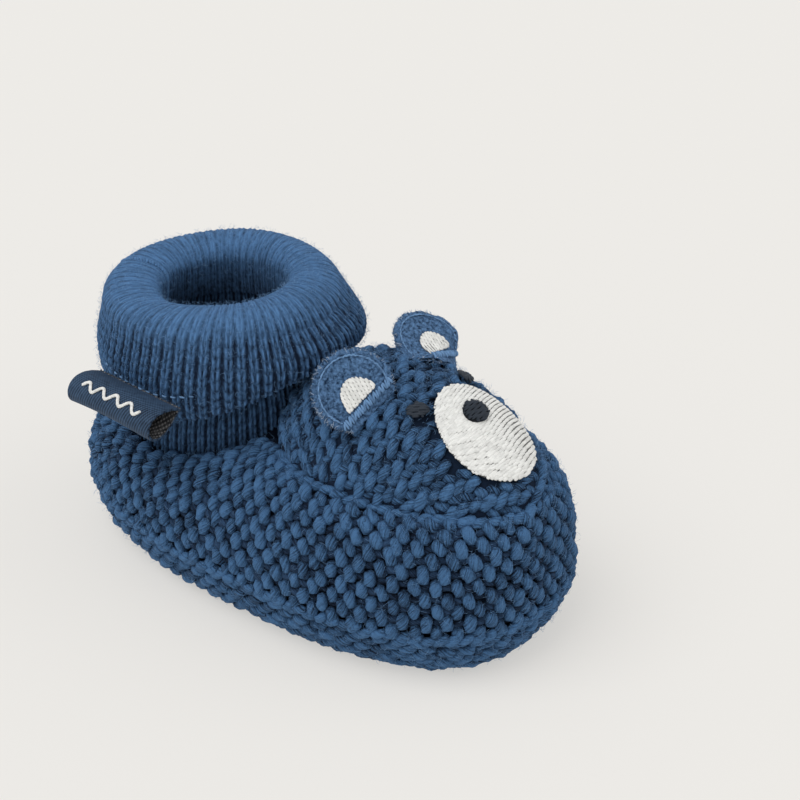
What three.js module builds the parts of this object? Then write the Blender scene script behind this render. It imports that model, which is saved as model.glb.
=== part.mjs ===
// Knitted baby bootie: chunky knit body, folded rib cuff, two sewn ears, an embroidered face and a label loop.
// Millimetres, +Z up, toe towards -Y, the sole rests on Z = 0.
import * as THREE from "three";

// Knit body
const HALF_WIDTH = 31;
const TOE_REACH = 53;
const HEEL_REACH = 56;
const PLAN_SQUARENESS = 2.5;
const BULGE_HEIGHT = 15;
const SOLE_SIDE_INSET = 9;
const SOLE_END_INSET = 9;
const RIDGE_RISE = -0.14;
const RIDGE_GAP = 0.03;
const KNIT = 3;
const SEAM_HEIGHT = 34.5;
const SEAM_HALF_WIDTH = 20.5;
const SEAM_CENTRE_Y = -15;
const SEAM_TOE_INSET = 3;
const SEAM_BACK = 24;
const EDGE_FALL = 20;
const EDGE_FALL_POWER = 1.5;
const VAMP_CROWN = 18.5;
const VAMP_TUCK = 1.5;
const DOME_POWER = 0.6;
const BODY_CENTRE_Y = 3;

// Ankle opening and cuff
const ANKLE_CENTRE_Y = 26;
const ANKLE_HALF_WIDTH = 21;
const CUFF_OVAL = 2.5;
const ANKLE_HALF_LENGTH = ANKLE_HALF_WIDTH + CUFF_OVAL;
const ANKLE_HEIGHT = 27;
const THROAT_NARROWING = 5.5;
const THROAT_HALF_WIDTH = ANKLE_HALF_WIDTH - THROAT_NARROWING;
const RIB = 2.4;
const CREST_HEIGHT = 61;
const CREST_BACK_DROP = 4;
const FOLD_THICKNESS = 9;
const TURNOVER_FLARE = 1;
const HEM_HEIGHT = 38;
const HEM_BELOW_CROWN = 3;
const HEM_FRONT_RISE = SEAM_HEIGHT + VAMP_CROWN - HEM_BELOW_CROWN - HEM_HEIGHT;
const ROOT_FRONT_RISE = 12;

// Ears
const EAR_RADIUS = 8.2;
const EAR_RISE = 4.6;
const EAR_LAYER = 1;
const EAR_X = 10.8;
const EAR_Y = -17.5;
const EAR_SKEW = -0.18;
const EAR_LEAN = 0.56;
const EAR_SWING = { left: 0, right: 0.32 };
const EAR_STITCH_INSET = 1.4;
const EAR_PATCH_HALF_WIDTH = 3.7;
const EAR_PATCH_LENGTH = 5;
const EAR_BAR_WIDTH = 1.4;
const EAR_BAR_END_INSET = 0.5;

// Embroidery
const MUZZLE = { x: 0, y: -37, halfX: 9.4, halfY: 9.8 };
const NOSE = { x: 0, y: -33.6, halfX: 2.9, halfY: 2.3 };
const EYE = { x: 7.4, y: -26.6, halfX: 1.7, halfY: 1.7 };
const FILL = 0.8;
const BACKING_MARGIN = 1.5;
const BACKING = 0.5;

// Sewing yarn, threads and label
const YARN_RADIUS = 0.8;
const THREAD_RADIUS = 0.3;
const YARN_CLEARANCE = 0.1;
const VALLEY_CLEARANCE = 0.15;
const SEAM_CORNER_STOP = 0.1;
const LABEL_WIDTH = 22;
const LABEL_REACH = 9.5;
const LABEL_BELLY = 2.9;
const LABEL_FULLNESS = 1.3;
const RIBBON = 0.5;
const LABEL_HEADING = -1.62;
const LABEL_DROOP = 0.12;
const LABEL_ABOVE_HEM = 5.5;
const MOTIF_LENGTH = 12;
const MOTIF_WAVES = 3;
const MOTIF_SWING = 1.1;

// Neighbours are held this far apart.
const GAP = 0.3;

const BLUE = [0.1, 0.19, 0.36];
const RIB_BLUE = [0.11, 0.21, 0.38];
const EAR_BLUE = [0.13, 0.25, 0.44];
const THREAD_BLUE = [0.2, 0.34, 0.56];
const IVORY = [0.78, 0.77, 0.73];
const CHARCOAL = [0.05, 0.06, 0.08];
const NAVY = [0.04, 0.07, 0.14];

const TURN = Math.PI * 2;
const QUARTER = Math.PI / 2;
const group = new THREE.Group();

function add(name, geometry, colour, roughness = 0.95) {
  const material = new THREE.MeshStandardMaterial({ roughness, metalness: 0 });
  material.color.setRGB(...colour);
  const mesh = new THREE.Mesh(geometry, material);
  mesh.name = name;
  group.add(mesh);
}

const vec = (x, y, z) => new THREE.Vector3(x, y, z);
const mix = (a, b, t) => a + (b - a) * t;
const clamp = (value, low, high) => Math.min(high, Math.max(low, value));
const signedPower = (value, exponent) => Math.sign(value) * Math.abs(value) ** exponent;
const steps = (count, low, high) => Array.from({ length: count + 1 }, (_, k) => mix(low, high, k / count));

// Skins the lines into one closed body: each line is a loop, or runs from one shared pole to the other.
function skin(lines, loops) {
  const rows = lines.length;
  const columns = lines[0].length;
  const geometry = new THREE.BufferGeometry().setFromPoints(lines.flat());
  const index = [];
  const point = (i, j) => (i % rows) * columns + (j % columns);
  const same = (a, b) => lines[0][a % columns].distanceTo(lines[1][b % columns]) < 1e-6;
  for (let i = 0; i < rows; i++) {
    for (let j = 0; j < (loops ? columns : columns - 1); j++) {
      if (!same(j, j)) index.push(point(i, j), point(i + 1, j), point(i + 1, j + 1));
      if (!same(j + 1, j + 1)) index.push(point(i, j), point(i + 1, j + 1), point(i, j + 1));
    }
  }
  geometry.setIndex(index);
  return faceOut(geometry);
}

function faceOut(geometry) {
  const position = geometry.getAttribute("position");
  const at = (i) => new THREE.Vector3().fromBufferAttribute(position, i);
  const { array } = geometry.index;
  let volume = 0;
  for (let k = 0; k < array.length; k += 3) {
    volume += at(array[k]).dot(at(array[k + 1]).cross(at(array[k + 2])));
  }
  if (volume < 0) array.reverse();
  return geometry;
}

const around = (count, lineAt) => steps(count, 0, TURN).slice(0, count).map(lineAt);

// Plan distance along a heading from (0, fromY) to an ellipse centred on (0, centreY).
// Heading 0 points at the toe and a quarter turn points at +X; side 1 is the far hit and -1 the near one.
function reachEllipse(heading, fromY, centreY, halfX, halfY, side = 1) {
  const dx = Math.sin(heading) / halfX;
  const dy = -Math.cos(heading) / halfY;
  const start = (fromY - centreY) / halfY;
  const a = dx * dx + dy * dy;
  const b = dy * start;
  const inside = b * b - a * (start * start - 1);
  return inside < 0 ? Infinity : (side * Math.sqrt(inside) - b) / a;
}

const planAt = (heading, fromY, reach) =>
  vec(Math.sin(heading) * reach, fromY - Math.cos(heading) * reach, 0);

function reachSeam(heading, fromY, grow) {
  const halfX = SEAM_HALF_WIDTH + grow;
  const front = TOE_REACH - SEAM_TOE_INSET + SEAM_CENTRE_Y + grow;
  const reach = reachEllipse(heading, fromY, SEAM_CENTRE_Y, halfX, front);
  if (planAt(heading, fromY, reach).y < SEAM_CENTRE_Y) return reach;
  return reachEllipse(heading, fromY, SEAM_CENTRE_Y, halfX, SEAM_BACK + grow);
}

const reachAnkle = (heading, fromY, grow, side) =>
  reachEllipse(heading, fromY, ANKLE_CENTRE_Y, ANKLE_HALF_WIDTH + grow, ANKLE_HALF_LENGTH + grow, side);

// The knit's top edge is level round the vamp and falls along the ankle.
function edgeHeight(y) {
  const fall = clamp((ANKLE_CENTRE_Y - 1 - y) / EDGE_FALL, 0, 1) ** EDGE_FALL_POWER;
  return mix(ANKLE_HEIGHT, SEAM_HEIGHT, fall);
}

function planPoint(t, sideInset, endInset) {
  const length = Math.cos(t) > 0 ? TOE_REACH : HEEL_REACH;
  const x = (HALF_WIDTH - sideInset) * signedPower(Math.sin(t), 2 / PLAN_SQUARENESS);
  const y = (endInset - length) * signedPower(Math.cos(t), 2 / PLAN_SQUARENESS);
  return vec(x, y, 0);
}

// The wall's top edge on the ray from the body's centre through the bulge.
function topPoint(t) {
  const bulge = planPoint(t, 0, 0);
  const heading = Math.atan2(bulge.x, BODY_CENTRE_Y - bulge.y);
  const seam = reachSeam(heading, BODY_CENTRE_Y, GAP);
  const ankle = reachAnkle(heading, BODY_CENTRE_Y, GAP, 1);
  const top = planAt(heading, BODY_CENTRE_Y, ankle === Infinity ? seam : Math.max(seam, ankle));
  return top.setZ(edgeHeight(top.y));
}

// The body's skin at a depth: rise -1 is the ground, 0 the bulge and 1 the top edge.
function bodyPoint(t, rise, depth) {
  const bulge = planPoint(t, depth, depth);
  const angle = Math.abs(rise) * QUARTER;
  const out = Math.cos(angle);
  if (rise < 0) {
    const sole = planPoint(t, SOLE_SIDE_INSET, SOLE_END_INSET);
    const drop = (BULGE_HEIGHT - depth) * Math.sin(angle);
    return sole.lerp(bulge, out).setZ(BULGE_HEIGHT - drop);
  }
  const top = topPoint(t);
  const z = mix(BULGE_HEIGHT, top.z - depth, Math.sin(angle));
  return top.lerp(bulge, out).setZ(z);
}

function makeSole() {
  const edge = steps(4, -1, RIDGE_RISE - RIDGE_GAP);
  const flat = steps(3, 0, 1).slice(0, 3);
  const side = (t, depth) => [
    ...flat.map((share) => bodyPoint(t, -1, depth).multiply(vec(share, share, 1))),
    ...edge.map((rise) => bodyPoint(t, rise, depth)),
  ];
  return skin(around(40, (t) => [...side(t, 0), ...side(t, KNIT).reverse()]), false);
}

function makeWall() {
  const rises = [...steps(2, RIDGE_RISE, 0).slice(0, 2), ...steps(7, 0, 1)];
  const side = (t, depth) => rises.map((rise) => bodyPoint(t, rise, depth));
  return skin(around(56, (t) => [...side(t, 0), ...side(t, KNIT).reverse()]), true);
}

// Height of the vamp's dome over a plan point.
function domeHeight(x, y, depth) {
  const heading = Math.atan2(x, SEAM_CENTRE_Y - y);
  const share = Math.hypot(x, y - SEAM_CENTRE_Y) / reachSeam(heading, SEAM_CENTRE_Y, -depth);
  const rise = Math.max(0, 1 - share * share) ** DOME_POWER;
  return edgeHeight(y) - VAMP_TUCK + (VAMP_CROWN + VAMP_TUCK - depth) * rise;
}

function vampLine(heading, depth) {
  const seam = reachSeam(heading, SEAM_CENTRE_Y, -depth);
  const ankle = reachAnkle(heading, SEAM_CENTRE_Y, GAP, -1);
  const reach = Math.min(seam, ankle > 0 ? ankle : Infinity);
  return steps(8, 0, 1).map((share) => {
    const point = planAt(heading, SEAM_CENTRE_Y, reach * Math.sin(share * QUARTER));
    return point.setZ(domeHeight(point.x, point.y, depth));
  });
}

const makeVamp = () =>
  skin(around(48, (t) => [...vampLine(t, 0), ...vampLine(t, KNIT).reverse()]), false);

function domeNormal(x, y, depth) {
  const step = 0.05;
  const slopeX = domeHeight(x + step, y, depth) - domeHeight(x - step, y, depth);
  const slopeY = domeHeight(x, y + step, depth) - domeHeight(x, y - step, depth);
  return vec(-slopeX, -slopeY, 2 * step).normalize();
}

const onDome = (x, y, lift, depth = 0) =>
  vec(x, y, domeHeight(x, y, depth)).addScaledVector(domeNormal(x, y, depth), lift);

// A pad that follows the dome: an oval of the given half sizes between two heights over it.
function makePad(oval, low, high, segments, depth = 0) {
  const lineAt = (t) => {
    const across = (share, lift) =>
      onDome(
        oval.x + oval.halfX * share * Math.sin(t),
        oval.y - oval.halfY * share * Math.cos(t),
        lift,
        depth,
      );
    const shares = steps(3, 0, 1);
    return [...shares.map((s) => across(s, high)), ...shares.reverse().map((s) => across(s, low))];
  };
  return skin(around(segments, lineAt), false);
}

class Path extends THREE.Curve {
  constructor(pointAt) {
    super();
    this.pointAt = pointAt;
  }
  getPoint(t, target = new THREE.Vector3()) {
    return target.copy(this.pointAt(t));
  }
}

// A round cord along a path, closed on itself when the path is a loop.
function makeCord(pointAt, radius, segments, loop = false) {
  const path = new Path(pointAt);
  const frames = path.computeFrenetFrames(segments, loop);
  const sides = 6;
  const rings = steps(segments, 0, 1).map((s, i) => {
    const centre = path.getPointAt(s);
    return steps(sides, 0, TURN)
      .slice(0, sides)
      .map((angle) =>
        centre
          .clone()
          .addScaledVector(frames.normals[i], radius * Math.cos(angle))
          .addScaledVector(frames.binormals[i], radius * Math.sin(angle)),
      );
  });
  if (loop) return skin(rings.slice(0, segments), true);
  const lines = steps(sides, 0, sides)
    .slice(0, sides)
    .map((k) => [path.getPointAt(0), ...rings.map((ring) => ring[k]), path.getPointAt(1)]);
  return skin(lines, false);
}

// Outward normal of the body's skin, from its slopes.
function bodyLift(t, rise, lift) {
  const step = 1e-3;
  const along = bodyPoint(t + step, rise, 0).sub(bodyPoint(t - step, rise, 0));
  const up = bodyPoint(t, rise + step, 0).sub(bodyPoint(t, rise - step, 0));
  return bodyPoint(t, rise, 0).addScaledVector(along.cross(up).normalize(), lift);
}

// Heading, from the vamp's centre, of the corner where the seam meets the ankle.
function cornerHeading() {
  let low = 0;
  let high = Math.PI;
  for (let k = 0; k < 40; k++) {
    const middle = (low + high) / 2;
    const ankle = reachAnkle(middle, SEAM_CENTRE_Y, 0, -1);
    if (ankle > 0 && ankle < reachSeam(middle, SEAM_CENTRE_Y, 0)) high = middle;
    else low = middle;
  }
  return low;
}

function makeSeams() {
  const clear = YARN_RADIUS + GAP;
  const ridge = (s) => bodyLift(s * TURN, RIDGE_RISE, clear + YARN_CLEARANCE);
  add("sole_seam_yarn", makeCord(ridge, YARN_RADIUS, 72, true), BLUE);
  const corner = cornerHeading() - SEAM_CORNER_STOP;
  const valley = (s) => {
    const heading = mix(-corner, corner, s);
    const point = planAt(heading, SEAM_CENTRE_Y, reachSeam(heading, SEAM_CENTRE_Y, clear + VALLEY_CLEARANCE));
    return point.setZ(edgeHeight(point.y) + clear);
  };
  add("vamp_seam_yarn", makeCord(valley, YARN_RADIUS, 48), BLUE);
}

// Cuff: radii are half widths; half lengths are longer by the ankle's own oval.
const FOLD_RADIUS = (FOLD_THICKNESS - RIB) / 2;
const TURNOVER_HALF_WIDTH = THROAT_HALF_WIDTH + RIB / 2 + 2 * FOLD_RADIUS;

const cuffPoint = (heading, radius, z) =>
  vec(radius * Math.sin(heading), ANKLE_CENTRE_Y - (radius + CUFF_OVAL) * Math.cos(heading), z);

const frontShare = (heading) => Math.max(0, Math.cos(heading)) ** 2;
const hemHeight = (heading) => HEM_HEIGHT + HEM_FRONT_RISE * frontShare(heading);
const rootHeight = (heading) => ANKLE_HEIGHT - 1 + ROOT_FRONT_RISE * frontShare(heading);
const crestHeight = (heading) => CREST_HEIGHT - (CREST_BACK_DROP * (1 - Math.cos(heading))) / 2;

// The cuff's middle line from its root, up the throat, over the fold and down to the hem.
function cuffMiddle(heading) {
  const crest = crestHeight(heading) - RIB / 2 - FOLD_RADIUS;
  const root = rootHeight(heading);
  const throat = THROAT_HALF_WIDTH + RIB / 2;
  const rootRadius = ANKLE_HALF_WIDTH - RIB / 2;
  const up = steps(5, 0, 1).map((s) => {
    const narrow = (1 - Math.cos(Math.PI * s)) / 2;
    return new THREE.Vector2(mix(rootRadius, throat, narrow), mix(root, crest, s));
  });
  const fold = steps(6, Math.PI, 0)
    .slice(1, 6)
    .map((angle) => new THREE.Vector2(
      throat + FOLD_RADIUS * (1 + Math.cos(angle)),
      crest + FOLD_RADIUS * Math.sin(angle),
    ));
  const down = steps(4, 0, 1).map((s) => new THREE.Vector2(
    TURNOVER_HALF_WIDTH + TURNOVER_FLARE * Math.sin(s * Math.PI * 0.6),
    mix(crest, hemHeight(heading), s),
  ));
  return [...up, ...fold, ...down];
}

function makeCuff() {
  const lineAt = (heading) => {
    const middle = cuffMiddle(heading);
    const offset = (side) => middle.map((point, k) => {
      const before = middle[Math.max(0, k - 1)];
      const after = middle[Math.min(middle.length - 1, k + 1)];
      const run = after.clone().sub(before).normalize();
      return cuffPoint(heading, point.x + side * run.y * RIB / 2, point.y - side * run.x * RIB / 2);
    });
    return [...offset(1), ...offset(-1).reverse()];
  };
  add("cuff_rib", skin(around(48, lineAt), true), RIB_BLUE);
}

// The cuff's closing seam lies on the throat at the heel.
function makeClosingSeam() {
  const clear = RIB / 2 + THREAD_RADIUS + GAP + YARN_CLEARANCE;
  const middle = cuffMiddle(Math.PI).slice(1, 6);
  const spine = new THREE.CatmullRomCurve3(
    middle.map((point) => cuffPoint(Math.PI, point.x - clear, point.y)),
  );
  add("cuff_closing_seam", makeCord((s) => spine.getPoint(s), THREAD_RADIUS, 12), THREAD_BLUE);
}

// A piece built with x along its base, y away from it and z towards its front, placed by a frame.
function place(name, geometry, frame, colour) {
  geometry.applyMatrix4(frame);
  add(name, geometry, colour);
}

function earFrame(side) {
  const sign = side === "left" ? 1 : -1;
  const swing = EAR_SWING[side];
  const normal = domeNormal(sign * EAR_X, EAR_Y, 0);
  // The base line is tangent to the dome, so a larger dome carries the ear with it.
  const base = vec(-sign, EAR_SKEW, 0);
  base.addScaledVector(normal, -base.dot(normal)).normalize();
  const along = vec(sign * Math.sin(swing), Math.cos(swing), 0).multiplyScalar(Math.cos(EAR_LEAN));
  along.z = Math.sin(EAR_LEAN);
  along.addScaledVector(base, -along.dot(base)).normalize();
  const right = base.clone().multiplyScalar(-sign);
  const front = right.clone().cross(along);
  const root = onDome(sign * EAR_X, EAR_Y, 2 * GAP + EAR_LAYER);
  return new THREE.Matrix4().makeBasis(right, along, front).setPosition(root);
}

function earShape() {
  const start = Math.asin(-EAR_RISE / EAR_RADIUS);
  const shape = new THREE.Shape();
  shape.absarc(0, EAR_RISE, EAR_RADIUS, start, Math.PI - start, false);
  shape.closePath();
  return shape;
}

const extrude = (shape, depth, z) =>
  new THREE.ExtrudeGeometry(shape, { depth, bevelEnabled: false, curveSegments: 20 }).translate(0, 0, z);

function makeEar(side) {
  const frame = earFrame(side);
  const name = (part) => `ear_${side}_${part}`;
  const face = GAP / 2 + EAR_LAYER + GAP;
  place(name("front"), extrude(earShape(), EAR_LAYER, GAP / 2), frame, EAR_BLUE);
  place(name("back"), extrude(earShape(), EAR_LAYER, -GAP / 2 - EAR_LAYER), frame, EAR_BLUE);
  const patch = new THREE.Shape();
  const patchBase = EAR_BAR_WIDTH + 2 * GAP;
  patch.absellipse(0, patchBase, EAR_PATCH_HALF_WIDTH, EAR_PATCH_LENGTH, 0, Math.PI, false);
  patch.closePath();
  place(name("patch"), extrude(patch, FILL, face), frame, IVORY);
  const radius = EAR_RADIUS - EAR_STITCH_INSET;
  const start = Math.asin((EAR_BAR_WIDTH + GAP + THREAD_RADIUS * 2 - EAR_RISE) / radius);
  const stitch = (s) => {
    const angle = mix(start, Math.PI - start, s);
    return vec(radius * Math.cos(angle), EAR_RISE + radius * Math.sin(angle), face + THREAD_RADIUS);
  };
  place(name("edge_stitching"), makeCord(stitch, THREAD_RADIUS, 24), frame, THREAD_BLUE);
  const halfBase = Math.sqrt(EAR_RADIUS ** 2 - EAR_RISE ** 2);
  const bar = new THREE.BoxGeometry(2 * (halfBase - EAR_BAR_END_INSET), EAR_BAR_WIDTH, FILL);
  bar.translate(0, EAR_BAR_WIDTH / 2 + GAP, face + FILL / 2);
  place(name("base_stitching"), bar, frame, THREAD_BLUE);
}

function makeFace() {
  const skinTop = GAP + FILL;
  add("muzzle_embroidery", makePad(MUZZLE, GAP, skinTop, 32), IVORY);
  add("nose_embroidery", makePad(NOSE, skinTop + GAP, skinTop + GAP + FILL, 16), CHARCOAL);
  for (const [side, sign] of [["left", 1], ["right", -1]]) {
    const eye = { ...EYE, x: sign * EYE.x };
    add(`eye_${side}_embroidery`, makePad(eye, GAP, skinTop, 12), CHARCOAL);
  }
  const backing = {
    ...MUZZLE,
    halfX: MUZZLE.halfX + BACKING_MARGIN,
    halfY: MUZZLE.halfY - BACKING_MARGIN,
    y: MUZZLE.y + BACKING_MARGIN,
  };
  add("embroidery_backing", makePad(backing, -GAP - BACKING, -GAP, 24, KNIT), IVORY);
}

// The label's frame: x along the hem, y away from the cuff, z out of its upper face.
function labelFrame() {
  const z = hemHeight(LABEL_HEADING) + LABEL_ABOVE_HEM;
  const radius = TURNOVER_HALF_WIDTH + TURNOVER_FLARE + RIB / 2 + 2 * GAP;
  const root = cuffPoint(LABEL_HEADING, radius, z);
  const step = 0.01;
  const along = cuffPoint(LABEL_HEADING + step, radius, z)
    .sub(cuffPoint(LABEL_HEADING - step, radius, z))
    .normalize();
  const out = along.clone().cross(vec(0, 0, 1)).normalize();
  if (out.dot(vec(root.x, root.y - ANKLE_CENTRE_Y, 0)) < 0) out.negate();
  out.multiplyScalar(Math.cos(LABEL_DROOP));
  out.z = -Math.sin(LABEL_DROOP);
  const up = along.clone().cross(out);
  if (up.z < 0) {
    along.negate();
    up.negate();
  }
  return new THREE.Matrix4().makeBasis(along, out, up).setPosition(root);
}

// The loop's teardrop section, flattened at its root: x is the reach and y the thickness.
function tearDrop(t, trim) {
  const share = (1 - Math.cos(t)) / 2;
  const fullness = LABEL_FULLNESS * Math.sin(t) * Math.sqrt(share);
  return new THREE.Vector2(mix(2 * trim, LABEL_REACH - trim, share), (LABEL_BELLY - trim) * fullness);
}

function makeLabel() {
  const frame = labelFrame();
  const half = LABEL_WIDTH / 2;
  const loop = skin(around(28, (t) => {
    const outer = tearDrop(t, 0);
    const inner = tearDrop(t, RIBBON);
    return [
      vec(-half, outer.x, outer.y),
      vec(half, outer.x, outer.y),
      vec(half, inner.x, inner.y),
      vec(-half, inner.x, inner.y),
    ];
  }), true);
  place("label_loop", loop, frame, NAVY);
  const wave = (s) => {
    const reach = LABEL_REACH / 2 + MOTIF_SWING * Math.sin(s * MOTIF_WAVES * TURN);
    const height = LABEL_BELLY + GAP + THREAD_RADIUS;
    return vec(mix(-MOTIF_LENGTH, MOTIF_LENGTH, s) / 2, reach, height);
  };
  place("label_motif", makeCord(wave, THREAD_RADIUS, 48), frame, IVORY);
  const above = GAP + 3 * THREAD_RADIUS;
  const radius = TURNOVER_HALF_WIDTH + TURNOVER_FLARE + RIB / 2 + GAP + THREAD_RADIUS;
  const z = hemHeight(LABEL_HEADING) + LABEL_ABOVE_HEM + above;
  const sweep = LABEL_WIDTH / radius / 2;
  const stitch = (s) => cuffPoint(LABEL_HEADING + mix(-sweep, sweep, s), radius, z);
  add("label_stitching", makeCord(stitch, THREAD_RADIUS, 16), THREAD_BLUE);
}

add("sole_knit", makeSole(), BLUE);
add("side_wall_knit", makeWall(), BLUE);
add("vamp_knit", makeVamp(), BLUE);
makeSeams();
makeCuff();
makeClosingSeam();
makeEar("left");
makeEar("right");
makeFace();
makeLabel();

export default group;
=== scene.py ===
import bpy
import bmesh
import math
import numpy as np
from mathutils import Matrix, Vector


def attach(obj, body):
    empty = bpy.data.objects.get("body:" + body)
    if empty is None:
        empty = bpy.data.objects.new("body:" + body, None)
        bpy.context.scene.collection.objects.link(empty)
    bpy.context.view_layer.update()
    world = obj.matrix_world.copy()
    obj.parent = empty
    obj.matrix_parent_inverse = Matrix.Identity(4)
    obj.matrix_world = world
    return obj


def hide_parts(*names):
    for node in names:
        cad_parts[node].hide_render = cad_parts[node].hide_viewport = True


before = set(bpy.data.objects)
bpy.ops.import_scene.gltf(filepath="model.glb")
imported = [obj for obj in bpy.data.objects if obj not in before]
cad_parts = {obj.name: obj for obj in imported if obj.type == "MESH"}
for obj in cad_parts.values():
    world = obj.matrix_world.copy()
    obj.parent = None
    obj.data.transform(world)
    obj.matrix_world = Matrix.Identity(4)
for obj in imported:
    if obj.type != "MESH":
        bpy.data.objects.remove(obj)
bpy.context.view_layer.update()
rng = np.random.default_rng(7)
MM = 0.001
TURN = 2 * math.pi

# Sizes of the solids, in millimetres.
HALF_WIDTH, TOE_REACH, HEEL_REACH, SQUARENESS = 31, 53, 56, 2.5
BULGE_HEIGHT, SOLE_INSET, RIDGE_RISE, RIDGE_GAP = 15, 9, -0.14, 0.03
SEAM_HEIGHT, SEAM_HALF_WIDTH, SEAM_CENTRE_Y, SEAM_TOE_INSET, SEAM_BACK = 34.5, 20.5, -15, 3, 24
VAMP_CROWN, VAMP_TUCK = 18.5, 1.5
ANKLE_CENTRE_Y, ANKLE_HALF_WIDTH, ANKLE_HALF_LENGTH, ANKLE_HEIGHT = 26, 21, 23.5, 27
THROAT_HALF_WIDTH, RIB, CREST_HEIGHT, CREST_BACK_DROP, FOLD_THICKNESS = 15.5, 2.4, 61, 4, 9
TURNOVER_FLARE, HEM_HEIGHT, HEM_FRONT_RISE, ROOT_FRONT_RISE = 1, 38, 12, 12
EAR_RADIUS, EAR_RISE, EAR_LAYER, EAR_X, EAR_Y, EAR_SKEW, EAR_LEAN = 8.2, 4.6, 1, 10.8, -17.5, -0.18, 0.56
EAR_SWING = {"left": 0, "right": 0.32}
MUZZLE = (0, -37, 9.4, 9.8)
NOSE = (0, -33.6, 2.9, 2.3)
EYE = (7.4, -26.6, 1.7, 1.7)
LABEL_WIDTH, LABEL_REACH, LABEL_BELLY, RIBBON = 22, 9.5, 2.9, 0.5
LABEL_HEADING, LABEL_DROOP, LABEL_ABOVE_HEM = -1.62, 0.12, 5.5
BODY_CENTRE_Y = 3
EDGE_FALL, EDGE_FALL_POWER, DOME_POWER = 20, 1.5, 0.6
GAP = 0.3
CUFF_OVAL = ANKLE_HALF_LENGTH - ANKLE_HALF_WIDTH
FOLD_RADIUS = (FOLD_THICKNESS - RIB) / 2
TURNOVER_HALF_WIDTH = THROAT_HALF_WIDTH + RIB / 2 + 2 * FOLD_RADIUS
LAST_ROW = 0.999  # past this share of a sheet, its last row meets its first


# ---------------------------------------------------------------- surfaces
def vec3(x, y, z):
    x, y, z = np.broadcast_arrays(x, y, z)
    return np.stack([x, y, z], -1).astype(float)


def unit(v):
    return v / np.maximum(np.linalg.norm(v, axis=-1, keepdims=True), 1e-12)


def mix(a, b, t):
    return a + (b - a) * t


def signed_power(v, p):
    return np.sign(v) * np.abs(v) ** p


def reach_ellipse(heading, from_y, centre_y, half_x, half_y, side=1):
    """How far an ellipse is from a point on the middle line, looking along a heading: 0 is the toe."""
    dx, dy = np.sin(heading) / half_x, -np.cos(heading) / half_y
    start = (from_y - centre_y) / half_y
    a, b = dx * dx + dy * dy, dy * start
    inside = b * b - a * (start * start - 1)
    return np.where(inside < 0, np.inf, (side * np.sqrt(np.maximum(inside, 0)) - b) / a)


def reach_seam(heading, from_y, grow):
    """How far the seam round the vamp is."""
    half_x = SEAM_HALF_WIDTH + grow
    front = TOE_REACH - SEAM_TOE_INSET + SEAM_CENTRE_Y + grow
    reach = reach_ellipse(heading, from_y, SEAM_CENTRE_Y, half_x, front)
    back = reach_ellipse(heading, from_y, SEAM_CENTRE_Y, half_x, SEAM_BACK + grow)
    return np.where(from_y - np.cos(heading) * reach < SEAM_CENTRE_Y, reach, back)


def reach_ankle(heading, from_y, grow, side):
    """How far the ankle opening is: side 1 is its far edge and -1 its near edge."""
    return reach_ellipse(
        heading, from_y, ANKLE_CENTRE_Y, ANKLE_HALF_WIDTH + grow, ANKLE_HALF_LENGTH + grow, side
    )


def edge_height(y):
    """The height of the wall's top edge, which falls from the vamp's seam to the ankle."""
    fall = np.clip((ANKLE_CENTRE_Y - 1 - y) / EDGE_FALL, 0, 1) ** EDGE_FALL_POWER
    return mix(ANKLE_HEIGHT, SEAM_HEIGHT, fall)


def plan_point(t, inset):
    """The foot's outline from above, a superellipse with its own reach at the toe and the heel."""
    length = np.where(np.cos(t) > 0, TOE_REACH, HEEL_REACH)
    x = (HALF_WIDTH - inset) * signed_power(np.sin(t), 2 / SQUARENESS)
    y = (inset - length) * signed_power(np.cos(t), 2 / SQUARENESS)
    return vec3(x, y, 0)


def top_point(t):
    """The wall's top edge: along the vamp's seam, or round the ankle where that lies further out."""
    bulge = plan_point(t, 0)
    heading = np.arctan2(bulge[..., 0], BODY_CENTRE_Y - bulge[..., 1])
    seam = reach_seam(heading, BODY_CENTRE_Y, GAP)
    ankle = reach_ankle(heading, BODY_CENTRE_Y, GAP, 1)
    reach = np.maximum(seam, np.where(np.isinf(ankle), 0, ankle))
    y = BODY_CENTRE_Y - np.cos(heading) * reach
    return vec3(np.sin(heading) * reach, y, edge_height(y))


def body_point(t, rise, depth=0.0):
    """The knit body's skin: rise -1 is the ground, 0 the bulge and 1 the top edge."""
    t, rise = np.broadcast_arrays(np.asarray(t, float), np.asarray(rise, float))
    bulge, sole, top = plan_point(t, depth), plan_point(t, SOLE_INSET), top_point(t)
    angle = np.abs(rise) * math.pi / 2
    out, up = np.cos(angle)[..., None], np.sin(angle)
    low = mix(sole, bulge, out)
    low[..., 2] = BULGE_HEIGHT - (BULGE_HEIGHT - depth) * up
    high = mix(top, bulge, out)
    high[..., 2] = mix(BULGE_HEIGHT, top[..., 2] - depth, up)
    return np.where((rise < 0)[..., None], low, high)


def dome_height(x, y, depth=0.0):
    """The height of the vamp, a dome that rises from its seam."""
    heading = np.arctan2(x, SEAM_CENTRE_Y - y)
    share = np.hypot(x, y - SEAM_CENTRE_Y) / reach_seam(heading, SEAM_CENTRE_Y, -depth)
    rise = np.maximum(0, 1 - share * share) ** DOME_POWER
    return edge_height(y) - VAMP_TUCK + (VAMP_CROWN + VAMP_TUCK - depth) * rise


def dome_normal(x, y):
    step = 0.05
    sx = dome_height(x + step, y) - dome_height(x - step, y)
    sy = dome_height(x, y + step) - dome_height(x, y - step)
    return unit(vec3(-sx, -sy, 2 * step))


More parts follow.
